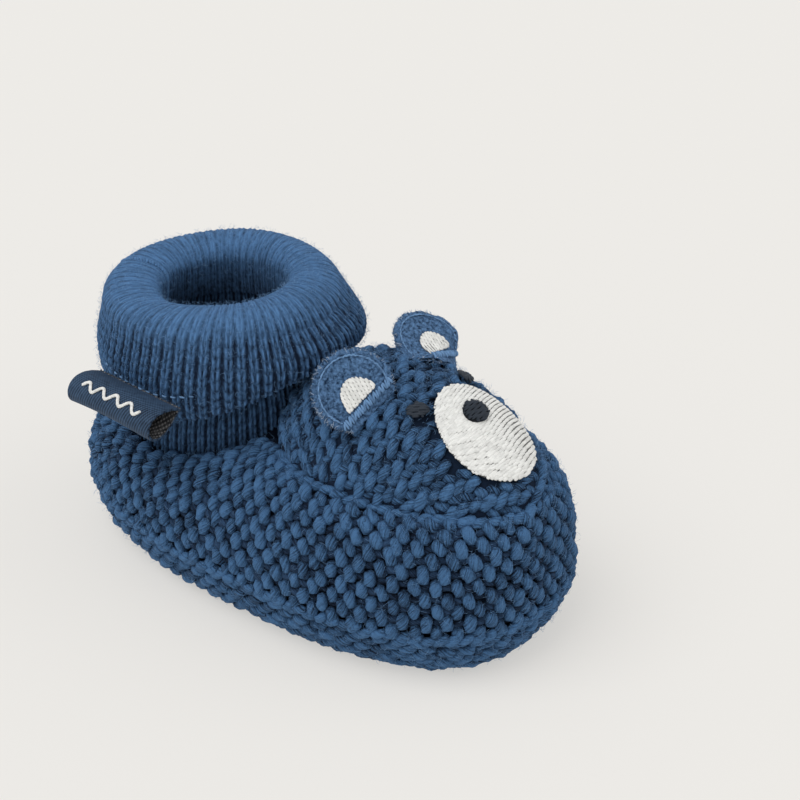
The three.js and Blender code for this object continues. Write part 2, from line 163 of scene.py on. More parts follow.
def on_dome(x, y, lift=0.0):
    x, y = np.broadcast_arrays(np.asarray(x, float), np.asarray(y, float))
    lift = np.broadcast_to(np.asarray(lift, float), x.shape)
    return vec3(x, y, dome_height(x, y)) + dome_normal(x, y) * lift[..., None]


def noise2(a, b, seed=0):
    """A smooth, repeatable wobble from a few sines; a and b are in radians."""
    r = np.random.default_rng(seed)
    total = 0
    for k in range(5):
        fa, fb = r.integers(1, 5), r.uniform(0.6, 3.4)
        total = total + np.sin(fa * a + fb * b + r.uniform(0, TURN)) * r.uniform(0.3, 1)
    return total / 3


# ---------------------------------------------------------------- mesh making
def finish_object(ob, body, nodes):
    """Adds a finished piece to the scene, on its body and in the place of its solids."""
    bpy.context.collection.objects.link(ob)
    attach(ob, body)
    if nodes:
        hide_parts(*nodes)
    return ob


def grid_mesh(name, columns, rows, place, material):
    """A sheet: place(u, v), both from 0 to 1, gives points in millimetres and a dict of point attributes.
    Edges and poles that meet are welded."""
    bm = bmesh.new()
    bmesh.ops.create_grid(bm, x_segments=columns, y_segments=rows, size=0.5)
    me = bpy.data.meshes.new(name)
    bm.to_mesh(me)
    bm.free()
    co = np.zeros(len(me.vertices) * 3, np.float32)
    me.vertices.foreach_get("co", co)
    co = co.reshape(-1, 3).astype(float)
    u = np.clip(co[:, 0] / np.ptp(co[:, 0]) + 0.5, 0, 1)
    v = np.clip(co[:, 1] / np.ptp(co[:, 1]) + 0.5, 0, 1)
    points, values = place(u, v)
    me.vertices.foreach_set("co", (points * MM).astype(np.float32).ravel())
    for key, value in values.items():
        if np.ndim(value) == 2:
            layer = me.attributes.new(key, "FLOAT_VECTOR", "POINT")
            layer.data.foreach_set("vector", value.astype(np.float32).ravel())
        else:
            layer = me.attributes.new(key, "FLOAT", "POINT")
            layer.data.foreach_set("value", np.broadcast_to(value, u.shape).astype(np.float32))
    bm = bmesh.new()
    bm.from_mesh(me)
    bmesh.ops.remove_doubles(bm, verts=bm.verts, dist=3e-6)
    bmesh.ops.dissolve_degenerate(bm, edges=bm.edges, dist=1e-7)
    bm.to_mesh(me)
    bm.free()
    return closed_object(name, me, material)


def strand_mesh(name, frames, shape, material, sides=8, rings=5, lobes=0, lobe_depth=0.0, twist=0.6):
    """Many short closed strands in one mesh, each stamped from a small sphere.
    frames holds pos, along, across and out, each (n, 3); shape holds one number a strand, in millimetres.
    lift arches a strand, sink lowers it, flat squeezes it and bow bends it sideways."""
    stamp = bpy.data.meshes.new("stamp")
    bm = bmesh.new()
    bmesh.ops.create_uvsphere(bm, u_segments=sides, v_segments=rings, radius=1)
    sphere = np.array([v.co for v in bm.verts])
    bm.to_mesh(stamp)
    bm.clear()
    for _ in range(len(frames[0])):
        bm.from_mesh(stamp)
    me = bpy.data.meshes.new(name)
    bm.to_mesh(me)
    bm.free()
    bpy.data.meshes.remove(stamp)
    v = np.arccos(np.clip(sphere[:, 2], -1, 1)) / math.pi
    around = np.arctan2(sphere[:, 1], sphere[:, 0])
    pos, along, across, out = frames
    n = len(pos)
    col = {k: np.broadcast_to(np.asarray(w, float), n)[:, None] for k, w in shape.items()}
    arch = np.sin(math.pi * v)[None]
    x = col["length"] * (0.5 - v)[None]
    bow = col.get("bow", 0) * (1 - (2 * v - 1) ** 2)[None]
    turn = twist * TURN * (v - 0.5)[None]
    start = rng.uniform(0, TURN, (n, 1))
    lobe = 1 + lobe_depth * np.cos(lobes * (around[None] + turn) + start) if lobes else 1
    r = col["radius"] * np.clip(arch * 2.2, 0, 1) ** 0.6 * (0.78 + 0.22 * arch) * lobe
    y = r * np.cos(around)[None] + bow
    z = r * np.sin(around)[None] * col.get("flat", 1) + col["lift"] * arch ** 0.8 - col["sink"]
    co = pos[:, None]
    for direction, amount in ((along, x), (across, y), (out, z)):
        co = co + direction[:, None] * amount[..., None]
    me.vertices.foreach_set("co", (co * MM).astype(np.float32).ravel())
    own = vec3(x + rng.uniform(0, 90, (n, 1)), np.cos(around[None] + turn) * col["radius"],
               np.sin(around[None] + turn) * col["radius"])
    layer = me.attributes.new("strand", "FLOAT_VECTOR", "POINT")
    layer.data.foreach_set("vector", own.astype(np.float32).ravel())
    # height, how far out a point lies across its strand, sets how much painted shade the yarn materials give
    # it.
    values = {"shade": np.broadcast_to(rng.random((n, 1)), z.shape), "height": z / col["radius"]}
    for key, value in values.items():
        layer = me.attributes.new(key, "FLOAT", "POINT")
        layer.data.foreach_set("value", value.astype(np.float32).ravel())
    return closed_object(name, me, material)


def closed_object(name, me, material):
    """Recalculates a finished mesh's normals and gives the object that holds it."""
    bm = bmesh.new()
    bm.from_mesh(me)
    bmesh.ops.recalc_face_normals(bm, faces=bm.faces)
    bm.to_mesh(me)
    bm.free()
    me.shade_smooth()
    me.materials.append(material)
    return bpy.data.objects.new(name, me)


def spread(n, share):
    """A factor for each of n strands, 1 give or take a share."""
    return 1 + share * rng.uniform(-1, 1, n)


# ---------------------------------------------------------------- materials
def new_material(name):
    """A material with its shader, and a function that adds a node: a socket given as an input is linked."""
    mat = bpy.data.materials.new(name)
    mat.use_nodes = True
    nodes, links = mat.node_tree.nodes, mat.node_tree.links
    nodes.clear()
    out = nodes.new("ShaderNodeOutputMaterial")
    shader = nodes.new("ShaderNodeBsdfPrincipled")
    links.new(shader.outputs[0], out.inputs[0])

    def node(kind, inputs=None, **settings):
        made = nodes.new("ShaderNode" + kind)
        for key, value in settings.items():
            setattr(made, key, value)
        for key, value in (inputs or {}).items():
            if isinstance(value, bpy.types.NodeSocket):
                links.new(value, made.inputs[key])
            else:
                made.inputs[key].default_value = value
        return made

    return mat, shader, node, links


def rgba(c):
    return (*c, 1)


def set_textile(shader, light, roughness, sheen):
    """The even settings of a matt textile, whose sheen takes the tint of its light colour."""
    shader.inputs["Roughness"].default_value = roughness
    shader.inputs["Sheen Weight"].default_value = sheen
    shader.inputs["Sheen Roughness"].default_value = 0.5
    shader.inputs["Sheen Tint"].default_value = rgba([min(1, c * 1.7 + 0.08) for c in light])
    shader.inputs["Specular IOR Level"].default_value = 0.2


def fibre_material(name, dark, light, fibre_scale=(0.5, 3), bump=0.3, sheen=0.14, roughness=0.9, cell=900,
                   height_range=(-1.1, 0.75), shade_spread=0.22, streaks=2.4):
    """Yarn or thread: fibres run along each strand, low parts are painted darker as shade and strands differ
    at random in tone.
    """
    mat, shader, node, links = new_material(name)
    own = node("Attribute", attribute_name="strand")
    along, around = fibre_scale
    stretch = node("Mapping", {"Vector": own.outputs["Vector"], "Scale": (along, around, around)})
    fibres = node("TexNoise", {"Vector": stretch.outputs[0], "Scale": 1.0, "Detail": 3.0, "Roughness": 0.6})
    coord = node("TexCoord")
    grain = node("TexNoise", {"Vector": coord.outputs["Object"], "Scale": float(cell), "Detail": 4.0})
    # Painted shade: the lower a point lies on its strand, the darker its colour.
    height = node("Attribute", attribute_name="height")
    low, high = height_range
    lit = node("MapRange", {"Value": height.outputs["Fac"], "From Min": low, "From Max": high})
    shade = node("Attribute", attribute_name="shade")

    def centred(source, amount):
        """A value from 0 to 1 made into one that swings by half an amount about 0."""
        inputs = {0: source.outputs["Fac"], 1: amount, 2: -amount / 2}
        return node("Math", inputs, operation="MULTIPLY_ADD").outputs[0]

    tone, streak, speck = centred(shade, shade_spread), centred(fibres, streaks), centred(grain, 0.6)
    both = node("Math", {0: streak, 1: speck}, operation="ADD")
    more = node("Math", {0: both.outputs[0], 1: tone}, operation="ADD")
    inputs = {0: lit.outputs[0], 1: 0.85, 2: more.outputs[0]}
    level = node("Math", inputs, operation="MULTIPLY_ADD", use_clamp=True)
    colour = node("Mix", {"Factor": level.outputs[0], 6: rgba(dark), 7: rgba(light)}, data_type="RGBA")
    links.new(colour.outputs[2], shader.inputs["Base Color"])
    raised = node("Math", {0: fibres.outputs["Fac"], 1: grain.outputs["Fac"]}, operation="ADD")
    lump = node("Bump", {"Height": raised.outputs[0], "Strength": bump, "Distance": 0.0006})
    links.new(lump.outputs[0], shader.inputs["Normal"])
    set_textile(shader, light, roughness, sheen)
    return mat


def cloth_material(name, dark, light, scale=1500, bump=0.35, roughness=0.92, sheen=0.3, level_name="height",
                   level_range=(0, 1), speckle=0.7):
    """Knitted or felted cloth: its colour runs from dark to light as the level attribute rises, which paints
    shade into its hollows where the level follows the surface, and fine noise gives its fibres.
    """
    mat, shader, node, links = new_material(name)
    coord = node("TexCoord")
    place = coord.outputs["Object"]
    fine = node("TexNoise", {"Vector": place, "Scale": float(scale), "Detail": 4.0, "Roughness": 0.65})
    broad = node("TexNoise", {"Vector": place, "Scale": 90.0, "Detail": 2.0})
    height = node("Attribute", attribute_name=level_name)
    low, high = level_range
    lit = node("MapRange", {"Value": height.outputs["Fac"], "From Min": low, "From Max": high})
    inputs = {0: fine.outputs["Fac"], 1: speckle, 2: -speckle / 2 - 0.07}
    specks = node("Math", inputs, operation="MULTIPLY_ADD")
    inputs = {0: broad.outputs["Fac"], 1: 0.3, 2: specks.outputs[0]}
    patches = node("Math", inputs, operation="MULTIPLY_ADD")
    inputs = {0: lit.outputs[0], 1: 0.8, 2: patches.outputs[0]}
    level = node("Math", inputs, operation="MULTIPLY_ADD", use_clamp=True)
    colour = node("Mix", {"Factor": level.outputs[0], 6: rgba(dark), 7: rgba(light)}, data_type="RGBA")
    links.new(colour.outputs[2], shader.inputs["Base Color"])
    lump = node("Bump", {"Height": fine.outputs["Fac"], "Strength": bump, "Distance": 0.0003})
    links.new(lump.outputs[0], shader.inputs["Normal"])
    set_textile(shader, light, roughness, sheen)
    return mat


# The dark end of each yarn colour serves both as painted shade, where a strand lies low, and as the darker
# fibres and strands.
YARN_DARK, YARN_LIGHT = (0.001, 0.005, 0.017), (0.072, 0.178, 0.36)
RIB_DARK, RIB_LIGHT = (0.002, 0.008, 0.024), (0.088, 0.205, 0.41)
yarn = fibre_material("chunky_yarn", YARN_DARK, YARN_LIGHT, fibre_scale=(0.3, 3.0), bump=1.0, sheen=0.1,
                      shade_spread=0.4, streaks=3.0)
# A darker copy of the yarn: painted shade for the stretches that lie deep between the others.
shaded_gap_yarn = fibre_material("gap_yarn_painted_shade", (0.001, 0.004, 0.013), (0.034, 0.082, 0.175),
                           fibre_scale=(0.3, 3.4), bump=0.7)
# The sheet under the stretches of yarn is coloured near black: painted shade in the gaps between them.
ground = cloth_material("knit_gap_painted_shade", (0.001, 0.004, 0.012), (0.01, 0.026, 0.062), level_range=(-1, 2))
rib = fibre_material("fine_rib", RIB_DARK, RIB_LIGHT, fibre_scale=(0.6, 3.4), bump=0.5,
                     height_range=(0.1, 0.95), cell=1400, streaks=1.6)


# ---------------------------------------------------------------- knit body
GRAIN_PITCH, GRAIN_ROW, GRAIN_LENGTH, GRAIN_RADIUS = 2.1, 5.3, 4.1, 1.24
GROUND_DEPTH, INNER_DEPTH = 1.5, 3.0
WALL_LOW, WALL_HIGH, WALL_MARGIN, WALL_GIRTH, RIDGE_GIRTH = RIDGE_RISE, 0.99, 0.7, 280, 290
VAMP_ROW, VAMP_STEP, VAMP_EDGE, VAMP_TOP_DEPTH, VAMP_INNER_DEPTH = 2.1, 5.4, 0.985, 1.1, 2.6
SOLE_FLAT_SHARE, SOLE_RIM = 0.4, -0.16
SEAM_END = 2.35  # the heading at which the seam round the vamp meets the cuff


def distance_run(points):
    """The distance along a line of points from its start to each of them."""
    steps = np.linalg.norm(np.diff(points, axis=0), axis=1)
    return np.concatenate([[0], np.cumsum(steps)])


def by_arc(points, spacing, offset=0.0):
    """Shares from 0 to 1 along a line of points at which marks a spacing apart fall, and its length."""
    run = distance_run(points)
    marks = np.arange(offset, run[-1], spacing)
    return np.interp(marks, run, np.linspace(0, 1, len(points))), run[-1]


def even_turns(count):
    """Parameters round the foot whose points are the same distance apart."""
    t = np.linspace(0, TURN, 3001)
    run = distance_run(plan_point(t, 0))
    return np.interp(np.arange(count) * run[-1] / count, run, t)


def body_frames(t, rise):
    """Frames on the knit body: along goes up the wall, across round the foot."""
    step = 1e-3
    pos = body_point(t, rise)
    above = np.minimum(rise + step, 1)
    up = unit(body_point(t, above) - body_point(t, above - 2 * step))
    side = body_point(t + step, rise) - body_point(t - step, rise)
    out = unit(np.cross(side, up))
    out = out * np.sign((out * (pos - [0, BODY_CENTRE_Y, BULGE_HEIGHT])).sum(-1, keepdims=True))
    return pos, up, unit(np.cross(out, up)), out


def dome_frames(x, y):
    """Frames on the vamp: along goes across the foot, across goes up the foot."""
    out = dome_normal(x, y)
    along = unit(vec3(1, 0, 0) - out * out[..., :1])
    return on_dome(x, y), along, np.cross(out, along), out


def jittered(frames, slide, angle, lean=0.0):
    """The frames, each moved a little in its surface and turned a little about its out direction."""
    pos, along, across, out = frames
    n = len(pos)
    turn = lean + rng.uniform(-angle, angle, n)
    c, s = np.cos(turn)[:, None], np.sin(turn)[:, None]
    pos = pos + along * rng.uniform(-slide, slide, (n, 1)) + across * rng.uniform(-slide, slide, (n, 1))
    return pos, along * c + across * s, across * c - along * s, out


def grains(name, frames, material=yarn, size=1.0, length=GRAIN_LENGTH, sink=0.75, lift=0.35, lean=0.12,
           flat=0.95):
    """Short stretches of plied yarn, each the part of a stitch that shows."""
    n = len(frames[0])
    frames = jittered(frames, 0.25, 0.28, lean)
    shape = {
        "length": length * size * spread(n, 0.1),
        "radius": GRAIN_RADIUS * size * spread(n, 0.08),
        "lift": lift * spread(n, 0.9),
        "sink": sink * spread(n, 0.15),
        "flat": flat,
    }
    return strand_mesh(name, frames, shape, material, sides=12, rings=7, lobes=3, lobe_depth=0.13, twist=0.5)


def wall_spots(low, high, pitch, row, margin):
    """Grain places between two rises: columns round the foot, each half a row out of step with the next."""
    end_gap = 0.6
    t_all, rise_all = [], []
    for k, t in enumerate(even_turns(2 * round(WALL_GIRTH / pitch / 2))):
        rises = np.linspace(low, high, 120)
        shares, length = by_arc(body_point(t, rises), row, margin + (k % 2) * row / 2)
        shares = shares[shares < 1 - end_gap / max(length, 1)]
        t_all.append(np.full(len(shares), t))
        rise_all.append(np.interp(shares, np.linspace(0, 1, 120), rises))
    return np.concatenate(t_all), np.concatenate(rise_all)


def dome_spots(pitch, row, shift=0.0):
    """Grain places on the vamp: rows across it, each half a step out of line with the next."""
    ys = np.linspace(SEAM_CENTRE_Y + SEAM_BACK, -(TOE_REACH - SEAM_TOE_INSET), 600)
    line = vec3(0, ys, dome_height(0 * ys, ys))
    shares, _ = by_arc(line, pitch, 0.4 * pitch)
    out = []
    for k, y in enumerate(np.interp(shares, np.linspace(0, 1, 600), ys)):
        xs = np.linspace(0, SEAM_HALF_WIDTH + 1, 300)
        seam = reach_seam(np.arctan2(xs, SEAM_CENTRE_Y - y), SEAM_CENTRE_Y, 0)
        xs = xs[np.hypot(xs, y - SEAM_CENTRE_Y) < VAMP_EDGE * seam]
        if len(xs) < 2:
            continue
        half = vec3(xs, y, dome_height(xs, y + 0 * xs))
        first = (k % 2) * row / 2 + shift
        for side, offset in ((1, first), (-1, row - (k % 2) * row / 2 - shift)):
            places, _ = by_arc(half, row, offset)
            x = np.interp(places, np.linspace(0, 1, len(xs)), xs) * side
            out.append(np.stack([x, np.full(len(x), y)], -1))
    out = np.concatenate(out)
    across, along = out[:, 0] / (ANKLE_HALF_WIDTH - 1), (out[:, 1] - ANKLE_CENTRE_Y) / (ANKLE_HALF_LENGTH - 1)
    clear = np.hypot(across, along) > 1
    return out[clear, 0], out[clear, 1]


def clear_of_face(x, y):
    """The grain places that the embroidered muzzle and eyes don't cover."""
    centre_x, centre_y, half_x, half_y = MUZZLE
    side_room, end_room, eye_room = 0.7, 0.1, 1.5
    apart = np.hypot((x - centre_x) / (half_x + side_room), (y - centre_y) / (half_y + end_room)) > 1
    apart &= np.hypot(np.abs(x) - EYE[0], y - EYE[1]) > eye_room
    return x[apart], y[apart]


def wall_ground(u, v):
    """A ring: the wall's outside from the ridge up, then its inside down again."""
    t = u * TURN
    outside = v < 0.5
    rise = np.where(outside, mix(WALL_LOW, WALL_HIGH, v * 2), mix(WALL_HIGH, WALL_LOW, v * 2 - 1))
    depth = np.where(outside | (v > LAST_ROW), GROUND_DEPTH, INNER_DEPTH)
    pos, _, _, out = body_frames(t, rise)
    return pos - out * depth[:, None], {"height": 0.3}


def sole_ground(u, v):
    """A dish: the outside from its middle to the rim, then the inside back to the middle."""
    t = u * TURN
    low, rim = v * 2, 2 * v - 1
    outside = v < 0.5
    share = np.where(outside, low, 1 - rim)
    flat = share < SOLE_FLAT_SHARE
    rise = np.where(flat, -1, mix(-1, SOLE_RIM, (share - SOLE_FLAT_SHARE) / (1 - SOLE_FLAT_SHARE)))
    pos, _, _, out = body_frames(t, rise)
    depth = np.where(outside, GROUND_DEPTH, INNER_DEPTH)
    edge = body_point(t, -1 + 0 * t) * [1, 1, 0]
    centre = np.array([0, (HEEL_REACH - TOE_REACH) / 2, 0])
    spread_out = np.clip(share / SOLE_FLAT_SHARE, 0, 1)[:, None]
    inner = mix(centre, edge, spread_out) + np.array([0, 0, 1]) * depth[:, None]
    return np.where(flat[:, None], inner, pos - out * depth[:, None]), {"height": 0.3}


def vamp_ground(u, v):
    """The dome: its top from the middle out to the seam, then its underside back."""
    heading = u * TURN
    top = v < 0.5
    share = np.sin(np.where(top, v * 2, 2 - 2 * v) * math.pi / 2)
    reach = reach_seam(heading, SEAM_CENTRE_Y, -0.5)
    ankle = reach_ankle(heading, SEAM_CENTRE_Y, GAP, -1)
    reach = np.where(np.isfinite(ankle) & (ankle > 0), np.minimum(reach, ankle), reach)
    x, y = np.sin(heading) * reach * share, SEAM_CENTRE_Y - np.cos(heading) * reach * share
    depth = np.where(top, VAMP_TOP_DEPTH, VAMP_INNER_DEPTH)
    return vec3(x, y, dome_height(x, y) - depth), {"height": 0.3}


def sole_spots(pitch, row):
    """Grain places on the flat underside, in rows across the foot, each half a step out of line."""
    spots = []
    first, last = -TOE_REACH + SOLE_INSET + 1, HEEL_REACH - SOLE_INSET - 1
    for k, y in enumerate(np.arange(first, last, pitch)):
        length = TOE_REACH if y < 0 else HEEL_REACH
        share = 1 - min(1, abs(y) / (length - SOLE_INSET)) ** SQUARENESS
        half = (HALF_WIDTH - SOLE_INSET) * share ** (1 / SQUARENESS)
        xs = np.arange(-40 * row, 40 * row, row) + (k % 2) * row / 2
        xs = xs[np.abs(xs) < half]
        spots.append(np.stack([xs, np.full(len(xs), y)], -1))
    spots = np.concatenate(spots)
    return spots[:, 0], spots[:, 1]


def sole_frames(x, y):
    """Frames on the underside: out is down."""
    directions = ([1, 0, 0], [0, -1, 0], [0, 0, -1])
    return vec3(x, y, 0), *(np.tile(d, (len(x), 1)).astype(float) for d in directions)


def perimeter_frames(t, rise):
    """Frames on the knit body whose along direction goes round the foot."""
    pos, up, side, out = body_frames(t, rise)
    return pos, side, -up, out


def seam_frames(spacing, grow, lift):
    """Frames along the seam round the vamp: along follows the seam and out leans up and away from it."""
    heading = np.linspace(-SEAM_END, SEAM_END, 900)
    reach = reach_seam(heading, SEAM_CENTRE_Y, grow)
    line = vec3(np.sin(heading) * reach, SEAM_CENTRE_Y - np.cos(heading) * reach, 0)
    line[:, 2] = edge_height(line[:, 1]) + lift
    run = distance_run(line)
    marks = np.arange(spacing / 2, run[-1], spacing)
    pos = np.stack([np.interp(marks, run, line[:, k]) for k in range(3)], -1)
    h = np.interp(marks, run, heading)
    ahead = np.stack([np.interp(marks + 0.5, run, line[:, k]) for k in range(3)], -1)
    along = unit(ahead - pos + 1e-6)
    away = vec3(np.sin(h), -np.cos(h), 0)
    out = unit(np.cross(along, np.cross(unit(away * 0.55 + [0, 0, 1]), along)))
    return pos, along, np.cross(out, along), out


def tilted(frames, angle):
    """The frames with along and across turned about out."""
    pos, along, across, out = frames
    c, s = math.cos(angle), math.sin(angle)
    return pos, along * c + across * s, across * c - along * s, out


side_wall = grid_mesh("side_wall_ground", 160, 60, wall_ground, ground)
finish_object(side_wall, "bootie", ["side_wall_knit"])
t, rise = wall_spots(WALL_LOW + 0.02, WALL_HIGH, GRAIN_PITCH, GRAIN_ROW, WALL_MARGIN)
finish_object(grains("side_wall_grains", body_frames(t, rise)), "bootie", [])
# Between the upright stretches of yarn, deeper ones cross from column to column, in a darker copy of the yarn
# that paints the shade they lie in.
t, rise = wall_spots(WALL_LOW + 0.02, WALL_HIGH, GRAIN_PITCH, GRAIN_ROW, WALL_MARGIN + GRAIN_ROW / 2)
bars = grains("side_wall_purl_bars", perimeter_frames(t, rise), shaded_gap_yarn, size=0.8, length=4.6, sink=1.5,
              lean=0)
finish_object(bars, "bootie", [])

sole = grid_mesh("sole_ground", 160, 60, sole_ground, ground)
finish_object(sole, "bootie", ["sole_knit"])
t, rise = wall_spots(-0.95, RIDGE_RISE - 0.01, pitch=1.9, row=4.0, margin=0.15)
frames = perimeter_frames(t, rise)
rim = grains("sole_rim_grains", frames, size=1.0, length=4.6, sink=0.85, lean=0.25, flat=0.9)
finish_object(rim, "bootie", [])
x, y = sole_spots(pitch=2.6, row=7.4)
under = grains("sole_underside_grains", sole_frames(x, y), length=5.6, sink=1.35, lift=0.3, flat=0.75)
finish_object(under, "bootie", [])

vamp = grid_mesh("vamp_ground", 140, 60, vamp_ground, ground)
finish_object(vamp, "bootie", ["vamp_knit"])
x, y = clear_of_face(*dome_spots(VAMP_ROW, VAMP_STEP))
across = grains("vamp_grains", dome_frames(x, y), length=5.2, size=0.9, lean=0.3)
finish_object(across, "bootie", [])
x, y = clear_of_face(*dome_spots(VAMP_ROW, VAMP_STEP, shift=VAMP_STEP / 2))
bars = grains("vamp_purl_bars", dome_frames(x, y), size=0.78, length=4.6, sink=1.05, lean=-0.7)
finish_object(bars, "bootie", [])

RIDGE_STITCH, SEAM_STITCH = 2.5, 2.6
turns = even_turns(round(RIDGE_GIRTH / RIDGE_STITCH))
ridge = perimeter_frames(turns, RIDGE_RISE + 0 * turns)
ridge = grains("sole_seam_stitches", ridge, size=0.8, length=5.0, sink=0.35, lean=0.55)
finish_object(ridge, "bootie", ["sole_seam_yarn"])
valley = tilted(seam_frames(SEAM_STITCH, grow=0.1, lift=-0.2), 0.5)
valley = grains("vamp_seam_stitches", valley, size=0.85, length=5.0, sink=0.35, lean=0.0)
finish_object(valley, "bootie", ["vamp_seam_yarn"])


# ---------------------------------------------------------------- ribbed cuff
RIBS, STITCH = 64, 2.0
SLUMP, SLUMP_HEADING, SETTLE, FLAP_BULGE, THROAT_CLOSES = 6.0, 0.1, 0.9, 0.7, 3.0
THROAT_CLOSES_FROM = 0.66  # the heading at which the throat stays open
LEG_PLACE, LEG_WIDTH, LEG_SLANT, COLUMN_SHARE, STITCH_FLOOR = 0.2, 0.125, 1.9, 0.2, 0.15
RIB_DEPTH, TUBE_RIB_DEPTH, TUBE_LINING_DEPTH, CLOSED_RIBS = 0.85, 0.9, 0.4, 0.3
TURNOVER_START, SHOWN, TUBE_TOP, TUBE_OUTSIDE = 0.72, 0.9, 0.8, 0.4
THROAT_MIDDLE = THROAT_HALF_WIDTH + RIB / 2
ROOT_RADIUS = ANKLE_HALF_WIDTH - RIB / 2


def eased(share):
    """0 below 0, 1 above 1 and a smooth rise between."""
    share = np.clip(share, 0, 1)
    return share * share * (3 - 2 * share)


def front_share(h):
    """1 at the toe side of the cuff, 0 from its sides on."""
    return np.maximum(0, np.cos(h)) ** 2


def cuff_heights(h):
    """The heights of the cuff's root, of the middle of its fold and of its hem."""
    crest = CREST_HEIGHT - CREST_BACK_DROP * (1 - np.cos(h)) / 2 - RIB / 2 - FOLD_RADIUS
    front = front_share(h)
    return ANKLE_HEIGHT - 1 + ROOT_FRONT_RISE * front, crest, HEM_HEIGHT + HEM_FRONT_RISE * front


def cuff_middle(h, p):
    """Radius and height of the cloth's middle: p is 1 at the fold's start, 2 at its end and 3 at the hem."""
    root, crest, hem = cuff_heights(h)
    s = np.clip(p, 0, 1)
    up_r, up_z = mix(ROOT_RADIUS, THROAT_MIDDLE, (1 - np.cos(math.pi * s)) / 2), mix(root, crest, s)
    a = math.pi * (2 - np.clip(p, 1, 2))
    over_r, over_z = THROAT_MIDDLE + FOLD_RADIUS * (1 + np.cos(a)), crest + FOLD_RADIUS * np.sin(a)
    d = np.clip(p - 2, 0, 1)
    bulge = TURNOVER_FLARE * np.sin(0.6 * math.pi * d) + FLAP_BULGE * np.sin(math.pi * d) ** 2
    down_r, down_z = TURNOVER_HALF_WIDTH + bulge, mix(crest, hem, d)
    r = np.where(p < 1, up_r, np.where(p < 2, over_r, down_r))
    return r, np.where(p < 1, up_z, np.where(p < 2, over_z, down_z))


def cuff_surface(h, p, lift):
    """Points on the cuff: lift is measured from the cloth's middle towards the side that shows."""
    step = 0.01
    ra, za = cuff_middle(h, np.clip(p - step, 0, 3))
    rb, zb = cuff_middle(h, np.clip(p + step, 0, 3))
    size = np.maximum(np.hypot(rb - ra, zb - za), 1e-9)
    nr, nz = -(zb - za) / size, (rb - ra) / size
    r, z = cuff_middle(h, p)
    soft = np.clip((p - 0.6) / 0.8, 0, 1)
    # The side nearest the toe and the outer ankle sags into the opening.
    rising = eased((p - 0.2) / 0.6)
    slump = SLUMP * np.clip(0.3 + 0.7 * np.cos(h - SLUMP_HEADING), 0, 1) * rising * eased((2.7 - p) / 1.5)
    closing = (1 - np.cos(h - THROAT_CLOSES_FROM)) / 2
    slump = slump + THROAT_CLOSES * closing * rising * eased((1.7 - p) / 0.6)
    wobble = noise2(h, p * 0.7, 3) * 0.55 * soft
    sway = noise2(h, p * 0.9, 11) * 0.4 * soft
    r, z = r + nr * (lift + wobble) - slump, z + nz * (lift + wobble) + sway + 0.15 * slump - SETTLE * soft
    return vec3(r * np.sin(h), ANKLE_CENTRE_Y - (r + CUFF_OVAL) * np.cos(h), z)


def rib_relief(h, along):
    """Height of the rib stitches, 0 to 1, and their point attributes. Each rib is a column of V stitches with
    two legs, and along is the distance along it in millimetres."""
    w = (h / TURN * RIBS) % 1
    side = np.abs(w - 0.5)
    wander = 0.3 * noise2(h * 5, along / 5, 5) + 0.18 * np.sin(h * RIBS * 2.3)
    legs = np.exp(-(((side - LEG_PLACE) / LEG_WIDTH) ** 2))
    slant = (along + wander) / STITCH + LEG_SLANT * side
    stitch = np.abs(np.sin(math.pi * slant)) ** 0.6
    column = COLUMN_SHARE * np.sin(math.pi * w) ** 0.8
    relief = column + (1 - COLUMN_SHARE) * legs * (STITCH_FLOOR + (1 - STITCH_FLOOR) * stitch)
    # Each leg of each stitch has a shade and a fibre place of its own.
    link = np.floor(slant) * 12.9 + np.floor(w * 2) * 4.1 + np.floor(h / TURN * RIBS) * 78.2
    fibre_x = along * 1.1 + side * 2.2 + 7 * np.round(h / TURN * RIBS * 2)
    own = vec3(fibre_x, (side - LEG_PLACE) * 3 + np.floor(slant) * 3.3, 0)
    return relief, {"height": relief, "shade": (np.sin(link) * 43758.5) % 1, "strand": own}


def arc_share(h, f, first):
    """p at a share f of the way from p = first to the hem, and the distance run to there in millimetres."""
    root, crest, hem = cuff_heights(h)
    up = (1 - first) * (crest - root)
    over = math.pi * FOLD_RADIUS
    down = crest - hem
    s = f * (up + over + down)
    p = np.where(s < up, first + s / (crest - root), np.where(s < up + over, 1 + (s - up) / over,
                 2 + (s - up - over) / np.maximum(down, 0.1)))
    return p, s


def turnover(u, v):
    """The turned-down part: the side that shows, over the fold to the hem, then its lining."""
    h = u * TURN
    shows = v < SHOWN
    f = np.where(shows, v / SHOWN, 1 - (v - SHOWN) / (1 - SHOWN))
    p, s = arc_share(h, f, TURNOVER_START)
    # In the throat and on the fold the ribs are closed up and shallow; they open towards the hem.
    depth = RIB_DEPTH * mix(CLOSED_RIBS, 1.0, np.clip((p - 1.7) / 0.9, 0, 1))
    relief, values = rib_relief(h, s)
    round_hem = np.clip((1 - np.clip(p - 2, 0, 1)) * 9, 0, 1) ** 0.5
    outer, lining = RIB / 2 * round_hem - depth + depth * relief + 0.15, -RIB / 2 * round_hem + 0.2
    lift = np.where(shows, outer, lining)
    # Painted light: towards the throat and over the fold the colour level is raised, a painted highlight on
    # the crest, and low in the throat it is lowered, painted shade in the opening.
    soft = eased((2.3 - p) / 0.8)
    inside = eased((p - 0.72) / 0.5)
    values["height"] = mix(relief * 0.95, 0.62 + 0.5 * relief, soft) * mix(0.4, 1, inside)
    return cuff_surface(h, p, lift), values


